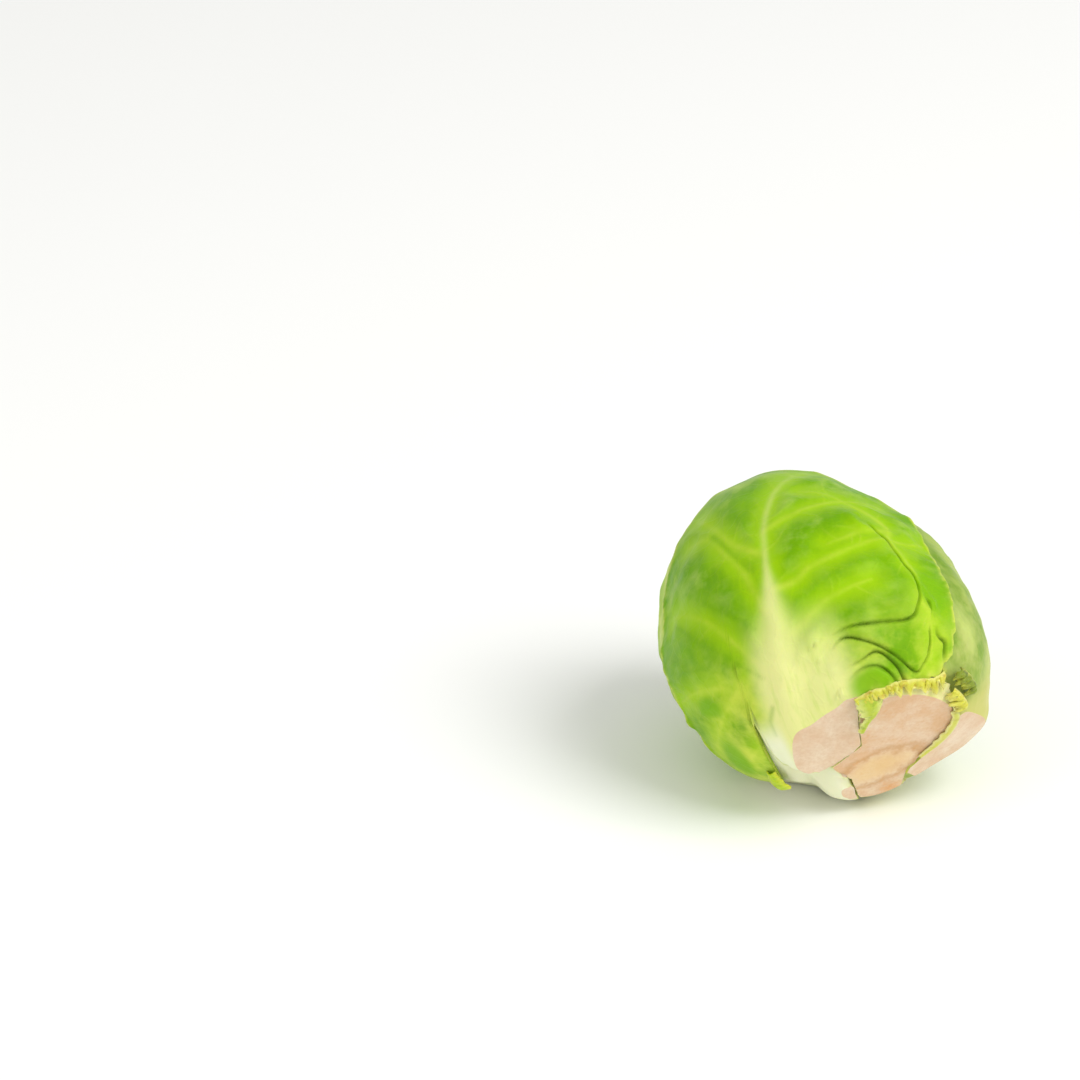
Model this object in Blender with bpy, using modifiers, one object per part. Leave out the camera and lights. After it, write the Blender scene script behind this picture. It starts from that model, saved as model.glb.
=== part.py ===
"""One Brussels sprout, cut from its stem and lying on its side.

A short stalk runs up from the knife cut into a tight heart. Eight wrapper leaves
close over the heart in a spiral, the oldest outermost. Every leaf is a thin curved
blade with a thick rib at its base. Sizes below are in millimetres, angles in
degrees. The head has its own frame: its centre is the origin, -Z points at the
cut, and -Y is the side that faces up when the sprout lies down.
"""

import math

import bmesh
import bpy
import numpy as np
from mathutils import Matrix, Vector

MM = 0.001

# The head's form: a spheroid whose long axis leans off the stalk, with low lumps
LONG_HALF = 20.8
SHORT_HALF = 16.8
LONG_AXIS = (22.7, 21.6)
BASE_TAPER = 0.06
BASE_TAPER_FROM = 60.0
BASE_TAPER_TO = 25.0
LUMPS = (
    (36.0, 95.0, 1.5, 18.0),
    (150.0, 15.0, 0.85, 24.0),
    (130.0, 38.0, -1.0, 17.0),
    (78.0, 42.0, -0.7, 22.0),
    (125.0, -95.0, -0.9, 20.0),
    (28.0, 175.0, 0.7, 18.0),
)

# How the sprout lies: roll, turn, and the height of its centre over the surface
LIE_TILT = -61.0
LIE_TURN = 27.0
REST_HEIGHT = 15.6
FLAT_HEIGHT = 15.15
FLAT_EDGE = 0.06
SPOT_LEAF = "leaf_belly"
SPOT_CORNERS = ((-5.52, 3.96), (0.17, -8.28), (5.81, 1.56))
SPOT_HARD = 0.03
SPOT_SOFT = 0.25
SPOT_LIFT = 0.04
CORNER_REACH = 0.6
SPOT_FACING = 0.5
BELLY_DENT = 0.42
BELLY_FACING = (0.8, 0.95)
CENTRE_X = -0.31
CENTRE_Y = -0.40

# Leaves
GAP = 0.5
BLADE = 0.75
RIB_THICK = 1.5
RIB_WIDTH = 11.0
RIB_NARROWING = 0.55
RIB_NARROWS = (30.0, 100.0)
RIB_RISES = (14.0, 30.0)
RIB_THINNING = 0.85
RIB_THINS = (38.0, 108.0)
RIB_RIDGE = 0.35
RIDGE_WIDTH = 5.0
RIDGE_ENDS = (150.0, 60.0)
PUFF = 0.18
PUFF_BESIDE_RIB = (6.0, 20.0)
PUFF_STARTS = (35.0, 55.0)
VEIN_STEP = 27.0
VEIN_SLANT = 0.75
LIP_AWAY = 1.7
LIP_WIDTH = 1.4
SMOOTH_BELLY = (0.93, 0.78)
LOW_BLUR = 14.0
OVERLAP_RAMP = 6.5
OVERLAP_MARGIN = 1.4
STALK_RAMP = 2.6
STALK_MARGIN = 1.4
LEAF_TURN = 137.5
FIRST_LEAF = -36.0
LEAF_LEAN = 15.0
WIDE = 74.0
HEAD_RADIUS = 17.5
HEART_SLACK = 0.4
STALK_SLACK = 0.46
STALK_GAP = 0.5

# The stalk: a plug that fills the base of the head out to this polar angle, and runs up inside to a point
STALK_ANGLE = 38.0
STALK_TIP = -4.0
STALK_SIDES = 44
STALK_RINGS = 20
STALK_CAP_SHARE = 0.6
ROOM_GROWTH = 10.0
ROOM_TIP_GROWTH = 4.0
HEART_SIDES = 28
HEART_RINGS = 18

# Knife cuts: polar angle and azimuth of the outward normal, and distance from the centre
MAIN_CUT = (9.7, -64.8, 16.3)
FRONT_LEAF_CUT = (17.0, -72.0, 16.45)
RIGHT_LEAF_CUT = (10.0, 92.1, 17.65)
KNIFE_SIZE = 60.0


def ramp(x, start, end):
    """0 up to the start, 1 past the end, and smooth between. The end may be the smaller number."""
    share = np.clip((x - start) / (end - start), 0.0, 1.0)
    return share * share * (3.0 - 2.0 * share)


def direction(polar, azimuth):
    """The unit vector at a polar angle from the cut end and an azimuth from the upper side."""
    polar = math.radians(polar)
    azimuth = math.radians(azimuth)
    across = math.sin(polar)
    return np.array([across * math.sin(azimuth), -across * math.cos(azimuth), -math.cos(polar)])


def angle_from(d, polar, azimuth):
    """The angle in degrees between each direction and the one at a polar angle and an azimuth."""
    return np.degrees(np.arccos(np.clip(d @ direction(polar, azimuth), -1.0, 1.0)))


def head_form(d):
    """The radius of the closed head along each direction, before it settles on the surface."""
    along = d @ direction(*LONG_AXIS)
    radius = 1.0 / np.sqrt(along**2 / LONG_HALF**2 + (1.0 - along**2) / SHORT_HALF**2)
    polar = angle_from(d, 0.0, 0.0)
    radius = radius * (1.0 - BASE_TAPER * ramp(polar, BASE_TAPER_FROM, BASE_TAPER_TO))
    for lump_polar, lump_azimuth, height, reach in LUMPS:
        away = angle_from(d, lump_polar, lump_azimuth)
        radius = radius + height * np.exp(-((away / reach) ** 2))
    return radius


def lie_matrix():
    """The turn from the head's frame to the frame of the surface it lies on."""
    turn = Matrix.Rotation(math.radians(LIE_TURN), 3, "Z")
    return turn @ Matrix.Rotation(math.radians(LIE_TILT), 3, "X")


def facing_down(d):
    """How far each direction of the head points down when the sprout lies on its side."""
    return d @ np.array(lie_matrix().inverted() @ Vector((0.0, 0.0, -1.0)))


def settled(d):
    """The share of its radius that each direction keeps where the belly is pressed nearly flat."""
    depth = np.maximum(head_form(d) * facing_down(d), 1e-6)
    over = np.clip(FLAT_HEIGHT + FLAT_EDGE - depth, 0.0, 2.0 * FLAT_EDGE)
    rounded = FLAT_HEIGHT - over**2 / (4.0 * FLAT_EDGE)
    return np.where(depth < FLAT_HEIGHT - FLAT_EDGE, 1.0, rounded / depth)


def on_spot(d):
    """The share and depth of the flat spot that the sprout stands on, a hair deeper at its corners."""
    down = np.maximum(facing_down(d), SPOT_FACING)
    across = (d @ np.array(lie_matrix()).T)[:, :2] * (REST_HEIGHT / down)[:, None]
    across = across + np.array([CENTRE_X, CENTRE_Y])
    outside = np.full(len(d), -1e3)
    corners = np.array(SPOT_CORNERS)
    for start, end in zip(corners, np.roll(corners, -1, axis=0)):
        run = (end - start) / np.linalg.norm(end - start)
        away = (across[:, 0] - start[0]) * run[1] - (across[:, 1] - start[1]) * run[0]
        outside = np.maximum(outside, away)
    nearest = np.min([np.hypot(*(across - corner).T) for corner in corners], axis=0)
    share = ramp(outside, SPOT_SOFT, SPOT_HARD) * (facing_down(d) > SPOT_FACING)
    return share, REST_HEIGHT - SPOT_LIFT * (nearest > CORNER_REACH)


class Leaf:
    """One wrapper leaf: where its rib runs, its outline, and how thick it is."""

    def __init__(self, name, turn, low, high, columns, rows, folds=()):
        self.name = name
        self.low = low
        self.high = high
        self.columns = columns
        self.rows = rows
        self.folds = folds
        azimuth = math.radians(turn)
        lean = math.radians(LEAF_LEAN)
        self.out = np.array([math.sin(azimuth), -math.cos(azimuth), 0.0])
        side = [math.cos(azimuth) * math.cos(lean), math.sin(azimuth) * math.cos(lean), -math.sin(lean)]
        self.side = np.array(side)
        self.root = np.cross(self.side, self.out)

    def to_direction(self, t, s):
        """Unit vectors for angles t up the rib from the cut end and s across it."""
        t = np.radians(t)
        s = np.radians(s)
        rib = np.outer(np.cos(t), self.root) + np.outer(np.sin(t), self.out)
        return np.cos(s)[:, None] * rib + np.outer(np.sin(s), self.side)

    def to_angles(self, d):
        """The angles t and s of each direction."""
        t = np.degrees(np.arctan2(d @ self.out, d @ self.root))
        s = np.degrees(np.arcsin(np.clip(d @ self.side, -1.0, 1.0)))
        return np.where(t < -90.0, t + 360.0, t), s

    def cover(self, d, margin=OVERLAP_MARGIN, reach=OVERLAP_RAMP):
        """1 over the leaf and just past its margin, easing to 0 further out."""
        t, s = self.to_angles(d)
        outline = [(along, across) for across, along in [*self.low, *reversed(self.high), self.low[0]]]
        away, _ = distance_to_line(t, s, outline)
        inside = (s > self.low[0][0]) & (s < self.low[-1][0])
        inside &= (t > np.interp(s, *zip(*self.low))) & (t < np.interp(s, *zip(*self.high)))
        return np.where(inside, 1.0, ramp(away, margin + reach, margin))

    def thickness(self, d):
        """Blade thickness, with the fleshy rib that thins towards the tip."""
        t, s = self.to_angles(d)
        width = RIB_WIDTH * (1.0 - RIB_NARROWING * ramp(t, *RIB_NARROWS))
        rise = ramp(t, *RIB_RISES) * (1.0 - RIB_THINNING * ramp(t, *RIB_THINS))
        return BLADE + RIB_THICK * rise * np.exp(-((s / width) ** 2))

    def relief(self, d):
        """Height of the surface over the plain form: a raised rib, and a blade that puffs between veins."""
        t, s = self.to_angles(d)
        rib = RIB_RIDGE * np.exp(-((s / RIDGE_WIDTH) ** 2)) * ramp(t, *RIDGE_ENDS)
        phase = (t - VEIN_SLANT * np.abs(s)) * 360.0 / VEIN_STEP
        puffs = PUFF * np.cos(np.radians(phase)) * ramp(np.abs(s), *PUFF_BESIDE_RIB)
        height = rib + puffs * ramp(t, *PUFF_STARTS)
        for line, depth, width, lip in self.folds:
            away, side = distance_to_line(t, s, line)
            height = height - depth * np.exp(-((away / width) ** 2))
            past_lip = (side * away - LIP_AWAY * width) / (LIP_WIDTH * width)
            height = height + lip * np.exp(-(past_lip**2))
        return height * ramp(facing_down(d), *SMOOTH_BELLY)

    def grid_angles(self, across, up):
        """The angles t and s at shares across and up the leaf. The shape of the low margin fades upwards."""
        s = np.interp(across, np.linspace(0.0, 1.0, len(self.columns)), self.columns)
        low = np.interp(s, *zip(*self.low))
        near = [np.interp(s + shift, *zip(*self.low)) for shift in np.linspace(-LOW_BLUR, LOW_BLUR, 9)]
        plain = np.mean(near, axis=0)
        high = np.interp(s, *zip(*self.high))
        return plain + (high - plain) * up + (low - plain) * (1.0 - up) ** 3, s


def distance_to_line(t, s, line):
    """How far each point lies from a line drawn on the leaf, in millimetres, and on which side of it."""
    arc = math.radians(1.0) * HEAD_RADIUS
    narrow = np.cos(np.radians(s))
    nearest = np.full(len(t), 1e9)
    side = np.ones(len(t))
    for (t0, s0), (t1, s1) in zip(line, line[1:]):
        run = np.stack([np.full(len(t), (s1 - s0) * arc), (t1 - t0) * arc * narrow])
        step = np.stack([(s - s0) * arc, (t - t0) * arc * narrow])
        share = np.clip((run * step).sum(0) / (run * run).sum(0), 0.0, 1.0)
        away = np.hypot(*(step - share * run))
        turn = np.sign(run[0] * step[1] - run[1] * step[0])
        closer = away < nearest
        nearest = np.where(closer, away, nearest)
        side = np.where(closer, turn, side)
    return nearest, side


# Where each leaf's rib ends and starts, from the second leaf inwards, and where the sides end, in degrees
TIPS = (188.0, 184.0, 182.0, 176.0, 168.0, 158.0, 148.0)
BASES = (15.0, 15.0, 40.0, 30.0, 50.0, 56.0, 56.0)
SIDE_LOW = 76.0
SIDE_HIGH = 108.0
ROUNDNESS = 2.6
EDGE_STATIONS = 25
LEAF_NAMES = (
    "leaf_right",
    "leaf_belly",
    "leaf_wrap_1",
    "leaf_wrap_2",
    "leaf_wrap_3",
    "leaf_wrap_4",
    "leaf_wrap_5",
)

# Low margins with a stalk-like base and torn or free ears: points (s, t) from the left edge to the right
RIGHT_LOW = (
    (-74.0, 70.0),
    (-66.0, 40.0),
    (-58.0, 18.0),
    (-50.0, 6.0),
    (-40.0, 0.0),
    (-32.0, 3.0),
    (-27.0, 7.0),
    (-22.5, 10.0),
    (-19.0, 10.5),
    (-12.0, 14.0),
    (-5.0, 15.5),
    (3.0, 15.0),
    (12.0, 12.5),
    (20.0, 12.0),
    (26.0, 14.0),
    (28.0, 34.0),
    (34.0, 50.0),
    (42.0, 66.0),
    (46.0, 80.0),
)
BELLY_LOW = (
    (-74.0, 82.0),
    (-66.0, 50.0),
    (-58.0, 20.0),
    (-50.0, 8.0),
    (-36.0, 4.0),
    (-28.0, 8.0),
    (-21.0, 20.0),
    (-16.0, 32.0),
    (-14.0, 28.0),
    (-12.0, 15.0),
    (12.5, 15.0),
    (15.0, 30.0),
    (20.0, 38.0),
    (45.0, 47.0),
    (62.0, 60.0),
    (74.0, 82.0),
)
FRONT_LOW = (
    (-70.0, 50.0),
    (-64.0, 24.0),
    (-56.0, 2.0),
    (-46.0, -10.0),
    (-36.0, -12.0),
    (-29.0, -6.0),
    (-23.0, 6.0),
    (-19.5, 12.5),
    (-22.0, 19.0),
    (-22.5, 27.0),
    (-20.5, 34.0),
    (-18.0, 41.0),
    (-15.5, 42.0),
    (-13.5, 38.0),
    (-12.5, 30.0),
    (-11.0, 15.0),
    (11.0, 17.0),
    (12.5, 24.0),
    (14.5, 33.0),
    (16.0, 40.5),
    (22.0, 42.0),
    (28.0, 41.0),
    (34.0, 39.0),
    (40.0, 34.5),
    (44.0, 35.0),
    (48.0, 38.0),
    (52.0, 37.0),
    (55.0, 45.0),
    (60.0, 50.0),
    (66.0, 70.0),
)
FRONT_HIGH = (
    (-70.0, 92.0),
    (-55.0, 128.0),
    (-30.0, 156.0),
    (-10.0, 167.0),
    (10.0, 168.0),
    (30.0, 163.0),
    (50.0, 150.0),
    (60.0, 136.0),
    (66.0, 112.0),
)
FRONT_LEFT_COLUMNS = (-70, -64, -57, -50, -43, -36, -30, -25, -21, -18.5, -16, -14.5, -12.5, -8, -4)
FRONT_RIGHT_COLUMNS = (0, 4, 8, 12.5, 17, 22, 27, 32, 37, 42, 47, 52, 57, 62, 66)
FRONT_ROWS = 20
PLAIN_COLUMNS = 16
PLAIN_ROWS = 14

# Creases of the front leaf's crumpled ear: points (t, s), then depth, width and raised lip
LONG_CREASE = ((65, 15), (66.5, 22), (64.5, 35), (64, 44), (73, 50), (86, 51), (104, 46), (120, 37))
INNER_CREASE = ((62, 21), (55, 29), (47, 35), (42.5, 38), (48, 44.5), (60, 50))
LOBE_CREASE = ((48, 17), (52, 21), (51, 27), (41, 31), (35, 32))
FRONT_FOLDS = (
    (LONG_CREASE, 0.5, 0.9, 0.35),
    (INNER_CREASE, 0.45, 0.8, 0.4),
    (LOBE_CREASE, 0.4, 0.7, 0.3),
)


def plain_columns():
    """Stations across a leaf, closer together near its rib."""
    u = np.linspace(-1.0, 1.0, PLAIN_COLUMNS + 1)
    return WIDE * (0.55 * u + 0.45 * u**3)


def rounded_edge(middle, side, right=WIDE):
    """A limit that runs from its middle value at the rib to its side value at the leaf's widest."""
    across = np.linspace(-WIDE, right, EDGE_STATIONS)
    return [(s, middle + (side - middle) * abs(s / WIDE) ** ROUNDNESS) for s in across]


def make_leaves():
    """All wrapper leaves, the outermost first, each turned by the same angle from the one outside it."""
    front_columns = [*FRONT_LEFT_COLUMNS, *FRONT_RIGHT_COLUMNS]
    leaves = [Leaf("leaf_front", FIRST_LEAF, FRONT_LOW, FRONT_HIGH, front_columns, FRONT_ROWS, FRONT_FOLDS)]
    own_low = {"leaf_right": RIGHT_LOW, "leaf_belly": BELLY_LOW}
    for place, (name, tip, base) in enumerate(zip(LEAF_NAMES, TIPS, BASES), 1):
        low = own_low.get(name) or rounded_edge(base, SIDE_LOW)
        right = low[-1][0]
        high = rounded_edge(tip, SIDE_HIGH, right)
        columns = plain_columns()
        columns = columns[columns < right + 1.0]
        columns[-1] = right
        turn = FIRST_LEAF + LEAF_TURN * place
        leaves.append(Leaf(name, turn, low, high, columns, PLAIN_ROWS))
    return leaves


def level_under(d, leaves):
    """The radius left for what lies inside these leaves."""
    level = head_form(d)
    for leaf in leaves:
        sunk = np.minimum(leaf.relief(d), 0.0)
        level = level + leaf.cover(d) * (sunk - leaf.thickness(d) - GAP)
    if len(leaves) > 2:
        level = level - BELLY_DENT * ramp(facing_down(d), *BELLY_FACING)
    return level


def stalk_level(d, leaves):
    """The radius left for the stalk, which fills out between the leaf bases."""
    form = head_form(d)
    level = form
    for place, leaf in enumerate(leaves, 1):
        inner = level_under(d, leaves[:place])
        near = leaf.cover(d, STALK_MARGIN, STALK_RAMP)
        level = np.minimum(level, form + (inner - STALK_SLACK - form) * near)
    return level


def outer_radius(leaf, outside, d):
    """The radius of a leaf's outer face under the leaves outside it."""
    covered = np.zeros(len(d))
    for other in outside:
        covered = np.maximum(covered, other.cover(d))
    relief = leaf.relief(d)
    open_relief = np.maximum(relief, 0.0) * (1.0 - covered)
    return level_under(d, outside) + np.minimum(relief, 0.0) + open_relief


def new_object(name, mesh_source, collection, parent):
    mesh = bpy.data.meshes.new(name)
    mesh_source.to_mesh(mesh)
    mesh_source.free()
    obj = bpy.data.objects.new(name, mesh)
    collection.objects.link(obj)
    obj.parent = parent
    return obj


def new_material(name, colour, roughness):
    material = bpy.data.materials.new(name)
    material.use_nodes = True
    shader = material.node_tree.nodes["Principled BSDF"]
    shader.inputs["Base Color"].default_value = (*colour, 1.0)
    shader.inputs["Roughness"].default_value = roughness
    shader.inputs["Metallic"].default_value = 0.0
    return material


def build_leaf(leaf, outside, collection, parent, material):
    """A grid laid on the head inside the leaf's outline, given its thickness by Solidify."""
    bm = bmesh.new()
    columns = len(leaf.columns) - 1
    bmesh.ops.create_grid(bm, x_segments=columns, y_segments=leaf.rows, size=1.0)
    flat = np.array([vert.co for vert in bm.verts])
    t, s = leaf.grid_angles((flat[:, 0] + 1.0) / 2.0, (flat[:, 1] + 1.0) / 2.0)
    d = leaf.to_direction(t, s)
    radius = outer_radius(leaf, outside, d)
    radius = radius * settled(d)
    if leaf.name == SPOT_LEAF:
        share, depth = on_spot(d)
        radius = radius + (depth / np.maximum(facing_down(d), SPOT_FACING) - radius) * share
    for vert, place in zip(bm.verts, d * radius[:, None] * MM):
        vert.co = place
    bmesh.ops.triangulate(bm, faces=bm.faces)
    bm.normal_update()
    if sum(face.normal.dot(face.calc_center_median()) for face in bm.faces) < 0.0:
        bmesh.ops.reverse_faces(bm, faces=bm.faces)
    obj = new_object(leaf.name, bm, collection, parent)
    obj.data.materials.append(material)
    thickness = leaf.thickness(d)
    thickest = float(thickness.max())
    group = obj.vertex_groups.new(name="thickness")
    for index, value in enumerate(thickness):
        group.add([index], float(value) / thickest, "REPLACE")
    wall = obj.modifiers.new("wall", "SOLIDIFY")
    wall.thickness = thickest * MM
    wall.offset = -1.0
    wall.vertex_group = group.name
    obj.data.shade_smooth()
    return obj


def build_knife(name, cut, collection, parent):
    """A block whose one face lies in the plane of a knife cut, on the side that is cut away."""
    polar, azimuth, distance = cut
    bm = bmesh.new()
    bmesh.ops.create_cube(bm, size=KNIFE_SIZE * MM)
    obj = new_object(name, bm, collection, parent)
    outward = Vector(direction(polar, azimuth))
    obj.rotation_euler = outward.to_track_quat("Z", "Y").to_euler()
    obj.location = outward * (distance + KNIFE_SIZE / 2.0) * MM
    return obj


def build_stalk_form(name, clearance, leaves, collection, parent):
    """The plug of the stalk under the leaf bases, or the same form grown by a clearance."""
    bm = bmesh.new()
    bmesh.ops.create_uvsphere(bm, u_segments=STALK_SIDES, v_segments=STALK_RINGS, radius=1.0)
    ball = np.array([vert.co for vert in bm.verts])
    polar = np.degrees(np.arccos(np.clip(-ball[:, 2], -1.0, 1.0)))
    azimuth = np.arctan2(ball[:, 0], -ball[:, 1])
    cap_end = 180.0 * STALK_CAP_SHARE
    widest = STALK_ANGLE + math.degrees(2.0 * clearance / HEAD_RADIUS)
    theta = np.radians(widest * np.minimum(polar / cap_end, 1.0))
    d = np.stack([np.sin(theta) * np.sin(azimuth), -np.sin(theta) * np.cos(azimuth), -np.cos(theta)], axis=1)
    radius = stalk_level(d, leaves) + ROOM_GROWTH * clearance
    inward = np.clip((polar - cap_end) / (180.0 - cap_end), 0.0, 1.0)[:, None]
    tip = np.array([0.0, 0.0, STALK_TIP + ROOM_TIP_GROWTH * clearance])
    places = d * radius[:, None] * (1.0 - inward) + tip * inward
    for vert, place in zip(bm.verts, places * MM):
        vert.co = place
    obj = new_object(name, bm, collection, parent)
    obj.data.shade_smooth()
    return obj


def build_heart(leaves, collection, parent, material):
    """The tight heart under the wrapper leaves, with a hole for the stalk."""
    bm = bmesh.new()
    bmesh.ops.create_uvsphere(bm, u_segments=HEART_SIDES, v_segments=HEART_RINGS, radius=1.0)
    d = np.array([vert.co.normalized() for vert in bm.verts])
    radius = (level_under(d, leaves) - HEART_SLACK) * settled(d)
    for vert, place in zip(bm.verts, d * radius[:, None] * MM):
        vert.co = place
    obj = new_object("heart", bm, collection, parent)
    obj.data.materials.append(material)
    obj.data.shade_smooth()
    return obj


def cut_with(obj, cutter, name):
    cut = obj.modifiers.new(name, "BOOLEAN")
    cut.operation = "DIFFERENCE"
    cut.object = cutter


def main():
    for obj in list(bpy.data.objects):
        bpy.data.objects.remove(obj, do_unlink=True)
    sprout = bpy.data.collections.new("brussels_sprout")
    cutters = bpy.data.collections.new("cutters")
    cutters.hide_render = True
    bpy.context.scene.collection.children.link(sprout)
    bpy.context.scene.collection.children.link(cutters)

    lie = bpy.data.objects.new("lie_down", None)
    sprout.objects.link(lie)
    lie.rotation_euler = (math.radians(LIE_TILT), 0.0, math.radians(LIE_TURN))
    lie.location = (CENTRE_X * MM, CENTRE_Y * MM, REST_HEIGHT * MM)

    leaf_green = new_material("leaf_green", (0.28, 0.47, 0.02), 0.45)
    heart_green = new_material("heart_pale_green", (0.62, 0.68, 0.22), 0.5)
    cut_flesh = new_material("stalk_flesh", (0.80, 0.62, 0.43), 0.6)

    main_knife = build_knife("knife_main", MAIN_CUT, cutters, lie)
    front_knife = build_knife("knife_front_leaf", FRONT_LEAF_CUT, cutters, lie)
    right_knife = build_knife("knife_right_leaf", RIGHT_LEAF_CUT, cutters, lie)

    leaves = make_leaves()
    stalk_room = build_stalk_form("stalk_room", STALK_GAP, leaves, cutters, lie)
    stalk = build_stalk_form("stalk", 0.0, leaves, sprout, lie)
    stalk.data.materials.append(cut_flesh)
    cut_with(stalk, main_knife, "knife cut")

    heart = build_heart(leaves, sprout, lie, heart_green)
    cut_with(heart, stalk_room, "room for the stalk")

    knives = {"leaf_front": front_knife, "leaf_right": right_knife, "leaf_belly": main_knife}
    for place, leaf in enumerate(leaves):
        obj = build_leaf(leaf, leaves[:place], sprout, lie, leaf_green)
        if leaf.name in knives:
            cut_with(obj, knives[leaf.name], "knife cut")

    for helper in cutters.objects:
        helper.hide_render = True
        helper.display_type = "WIRE"


main()
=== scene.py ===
# %% [markdown]
# # A Brussels sprout, cut from its stem and lying on its side
#
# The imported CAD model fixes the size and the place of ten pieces: eight wrapper leaves, the
# tight heart inside them, and the stalk. This script keeps those places and gives each piece
# the surface that makes it read as a fresh vegetable: ribs and veins, puffed panels, a
# crumpled ear, torn margins, and the moist face that the knife left.

# %% Load the frame
import math

import bmesh
import bpy
import numpy as np
from mathutils import Matrix, Vector


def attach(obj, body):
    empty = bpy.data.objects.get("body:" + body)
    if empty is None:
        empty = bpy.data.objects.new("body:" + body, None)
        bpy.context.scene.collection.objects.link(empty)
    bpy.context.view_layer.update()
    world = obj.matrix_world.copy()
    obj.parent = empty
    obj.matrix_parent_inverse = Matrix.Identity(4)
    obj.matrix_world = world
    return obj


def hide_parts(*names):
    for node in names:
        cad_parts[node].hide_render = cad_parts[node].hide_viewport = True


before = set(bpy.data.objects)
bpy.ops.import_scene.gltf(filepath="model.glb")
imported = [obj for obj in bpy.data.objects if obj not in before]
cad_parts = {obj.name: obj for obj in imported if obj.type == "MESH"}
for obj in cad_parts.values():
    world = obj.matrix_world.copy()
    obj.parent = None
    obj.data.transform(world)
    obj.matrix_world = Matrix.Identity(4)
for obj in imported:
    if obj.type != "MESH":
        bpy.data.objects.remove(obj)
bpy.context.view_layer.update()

MM = 0.001

# %% [markdown]
# ## The form of the head
# A sprout grows as a ball of leaves that wrap each other tightly, so its outside is one
# closed form and every leaf is a patch of it. The form is given as a radius for each
# direction from the centre: a spheroid whose long axis leans away from the stalk, a little
# narrower at the base, with a few low swellings. A formula like this can be asked for a point
# anywhere, at any fineness, which a sculpted mesh cannot. In the head's own frame -Z
# points at the knife cut and -Y is the side that faces up.

# %% Directions and the form of the head
LONG_HALF = 20.8
SHORT_HALF = 16.8
LONG_AXIS = (22.7, 21.6)
BASE_TAPER = 0.06
BASE_TAPER_FROM = 60.0
BASE_TAPER_TO = 25.0
LUMPS = (
    (36.0, 95.0, 1.5, 18.0),
    (150.0, 15.0, 0.85, 24.0),
    (130.0, 38.0, -1.0, 17.0),
    (78.0, 42.0, -0.7, 22.0),
    (125.0, -95.0, -0.9, 20.0),
    (28.0, 175.0, 0.5, 18.0),
    (44.0, -153.0, -1.4, 14.0),
    (32.0, 127.0, -1.1, 14.0),
)
HEAD_RADIUS = 17.5
ARC = math.radians(1.0) * HEAD_RADIUS


def ramp(x, start, end):
    """0 up to the start, 1 past the end, and smooth between. The end may be the smaller number."""
    share = np.clip((x - start) / (end - start), 0.0, 1.0)
    return share * share * (3.0 - 2.0 * share)


def direction(polar, azimuth):
    """The unit vector at a polar angle from the cut end and an azimuth from the upper side."""
    polar = math.radians(polar)
    azimuth = math.radians(azimuth)
    across = math.sin(polar)
    return np.array([across * math.sin(azimuth), -across * math.cos(azimuth), -math.cos(polar)])


def angle_from(d, polar, azimuth):
    """The angle in degrees between each direction and the one at a polar angle and an azimuth."""
    return np.degrees(np.arccos(np.clip(d @ direction(polar, azimuth), -1.0, 1.0)))


def head_form(d):
    """The radius in mm of the closed head along each direction."""
    along = d @ direction(*LONG_AXIS)
    radius = 1.0 / np.sqrt(along**2 / LONG_HALF**2 + (1.0 - along**2) / SHORT_HALF**2)
    radius = radius * (1.0 - BASE_TAPER * ramp(angle_from(d, 0.0, 0.0), BASE_TAPER_FROM, BASE_TAPER_TO))
    for polar, azimuth, height, reach in LUMPS:
        radius = radius + height * np.exp(-((angle_from(d, polar, azimuth) / reach) ** 2))
    return radius


ends = np.array([direction(0.0, 0.0), direction(90.0, 0.0)])
print("radius towards the cut and to the top, mm:", head_form(ends).round(1))

# %% [markdown]
# ## Lying down
# The sprout has rolled onto its side until its belly carries it, and there its leaves are
# pressed flat over a few millimetres. The head's frame is turned and lifted as a whole, and
# every direction that would reach below the surface is shortened to end on it.

# %% The lying pose and the flat belly
LIE_TILT = -61.0
LIE_TURN = 27.0
REST_HEIGHT = 15.6
FLAT_EDGE = 0.15
CENTRE = (-0.31, -0.40, REST_HEIGHT)

lie = Matrix.Rotation(math.radians(LIE_TURN), 3, "Z") @ Matrix.Rotation(math.radians(LIE_TILT), 3, "X")
DOWN = np.array(lie.inverted() @ Vector((0.0, 0.0, -1.0)))


def settled(d):
    """The share of its radius that each direction keeps where the belly presses on the surface."""
    depth = np.maximum(head_form(d) * (d @ DOWN), 1e-6)
    over = np.clip(REST_HEIGHT + FLAT_EDGE - depth, 0.0, 2.0 * FLAT_EDGE)
    rounded = REST_HEIGHT - over**2 / (4.0 * FLAT_EDGE)
    return np.where(depth < REST_HEIGHT - FLAT_EDGE, 1.0, rounded / depth)


def in_place(points):
    """Points of the head's frame in mm, as rows, moved to the lying pose in metres."""
    return (points @ np.array(lie).T + np.array(CENTRE)) * MM


print("direction of the floor in the head's frame:", DOWN.round(2))

# %% [markdown]
# ## Lines drawn on a leaf
# Ribs, veins, creases and margins are all lines on a leaf. Each leaf has two angles of its
# own: t runs up the rib from the cut, and s runs across it. A line is a row of (t, s)
# points. Two helpers read such lines: one gives the distance to a single line and the side
# it is on, and one lays many tapering lines over each other.

# %% Distances to lines
FAR = 1e9
TINY = 1e-9
LINE_FADE = 0.5


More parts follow.
